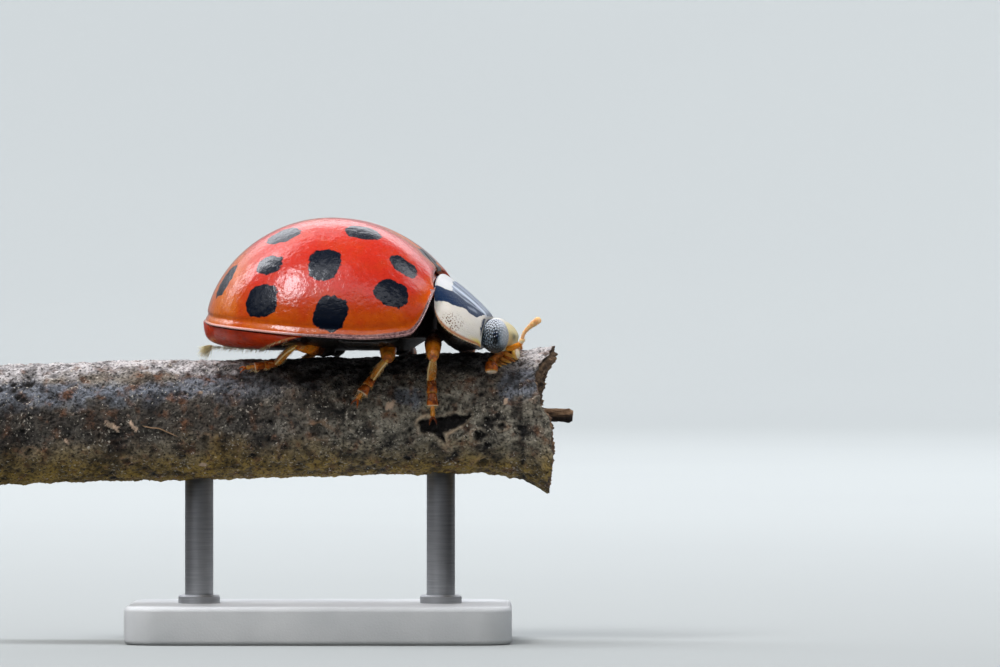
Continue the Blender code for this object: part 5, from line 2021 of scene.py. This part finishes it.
@dataclass
class Studio:
    """A pale seamless floor, soft lights, a room and the camera."""

    floor_reach: float = 450.0
    wall_bend: float = 250.0
    wall_top: float = 460.0
    camera_place: Triple = (4.32, -200.0, 7.37)
    lens: float = 300.0
    room: float = 0.015
    sky: float = 0.11

    GLOWS = (
        Glow(-95.0, 44.0, 42.0, 9.0, 1.3, 0.6, 90.0), Glow(-137.0, 47.0, 12.0, 7.0, 18.0, 0.8, 30.0),
        Glow(-158.0, 44.0, 16.0, 10.0, 0.5, 0.8), Glow(155.0, 43.0, 20.0, 6.0, 7.0, 0.7),
        Glow(96.0, 37.0, 38.0, 11.0, 2.4, 0.8, 90.0), Glow(130.0, 56.0, 16.0, 7.0, 2.6, 0.9, 60.0),
        Glow(8.0, 46.0, 16.0, 10.0, 3.0, 0.8), Glow(-120.0, 63.0, 11.0, 7.0, 1.6, 0.8),
        Glow(85.0, 10.0, 14.0, 50.0, 0.4, 0.8))

    def build(self) -> None:
        """Make the floor, the lights, the room and the camera."""
        self.build_floor()
        self.add_light("soft_box_key", (-0.16, -0.3, 0.4), (0.3, 0.3), 2.3, "#fff3e4", (0.0, 0.0, 0.009))
        self.add_light("soft_box_backdrop", (0.0, 0.1, 0.5), (0.6, 0.3), 15.5, "#f4f7ff", (0.1, 0.75, 0.1))
        self.build_room()
        self.build_camera()

    def build_floor(self) -> None:
        """Make a round sheet of backdrop paper that curves up all round."""
        turn = circle(96)
        reach, bend = self.floor_reach, self.wall_bend
        profile = [(20.0, 0.0), (reach / 2, 0.0), (reach, 0.0)]
        profile += [(reach + bend * sin(a), bend * (1 - cos(a))) for a in np.linspace(0.1, pi / 2, 14)]
        profile.append((reach + bend, self.wall_top))
        draft = Draft()
        tilt = 0.87 - 0.13 * np.sin(turn)
        rings = [xyz(r * np.cos(turn), r * np.sin(turn), z * tilt) for r, z in profile]
        draft.grid(np.array(rings), Ends.FIRST)
        floor = put("studio_floor", draft.mesh("floor", "paper"))
        floor.visible_glossy = False  # low parts mirror the dark room, not the pale paper

    def add_light(self, name: str, place: Triple, size: Pair, radiance: float, tint: str,
                  target: Triple) -> None:
        """Hang a rectangular soft box, kept out of the glossy surfaces, which mirror the room."""
        data = bpy.data.lights.new(name, "AREA")
        data.shape = "RECTANGLE"
        data.size, data.size_y = size
        data.energy = radiance * pi * size[0] * size[1]
        data.color = to_linear(tint)[:3]
        lamp = put(name, data)
        lamp.location = place
        lamp.rotation_euler = (Vector(target) - Vector(place)).to_track_quat("-Z", "Y").to_euler()
        lamp.visible_camera = False
        lamp.visible_glossy = False

    def build_room(self) -> None:
        """Fill the room with a pale light from above, brighter where a window's glow comes in."""
        world = bpy.data.worlds.new("studio_room")
        world.use_nodes = True
        tree = world.node_tree
        way = add(tree, "TexCoord", out="Generated")
        up = add(tree, "SeparateXYZ", {0: way}, out="Z")
        total = add(tree, "MapRange", {0: up, 1: 0.1, 2: 0.85, 3: self.room, 4: self.sky})
        for glow in self.GLOWS:
            total = add(tree, "Math", {0: total, 1: glow.lay(tree, way)}, operation="ADD")
        shade = tree.nodes["Background"]
        shade.inputs["Color"].default_value = to_linear("#f0f2f8")
        tree.links.new(total, shade.inputs["Strength"])
        bpy.context.scene.world = world

    def build_camera(self) -> None:
        """Set up a long level lens from the beetle's right side."""
        data = bpy.data.cameras.new("camera")
        data.lens = self.lens
        data.sensor_width = 36.0
        data.clip_start = 0.001
        data.clip_end = 10.0
        camera = put("camera", data)
        camera.location = Vector(self.camera_place) * MM
        camera.rotation_euler = (radians(90.0), 0.0, 0.0)
        bpy.context.scene.camera = camera


# ---- the whole model

BODY_YAW = radians(-10.0)
BODY_FROM_SHELLS = (0.01, 0.045, -2.78)


def beetle_place() -> Place:
    """Find the beetle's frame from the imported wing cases: their middle, and their top less its height."""
    boxes = [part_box(f"elytron_{side.word}") for side in Side]
    low = np.min([box[0] for box in boxes], axis=0) / MM
    high = np.max([box[1] for box in boxes], axis=0) / MM
    middle = (low + high) / 2
    x, y, z = BODY_FROM_SHELLS
    return Place((middle[0] + x, middle[1] + y, high[2] + z), BODY_YAW)


def main() -> None:
    """Build the pieces in order."""
    logging.basicConfig(level=logging.INFO, format="%(message)s")
    bpy.context.scene.view_settings.view_transform = "Standard"
    place = beetle_place()
    line = TwigLine()
    Twig(line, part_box("perch_twig")[0][0] / MM).build()
    Stand(line).build()
    WingCases(place).build()
    pronotum = Pronotum(place)
    pronotum.build()
    Trunk(place).build(pronotum)
    Head(place).build()
    for name, stance in STANCES.items():
        Leg(name, stance, place, line).build()
    Studio().build()


if __name__ == "__main__":
    main()
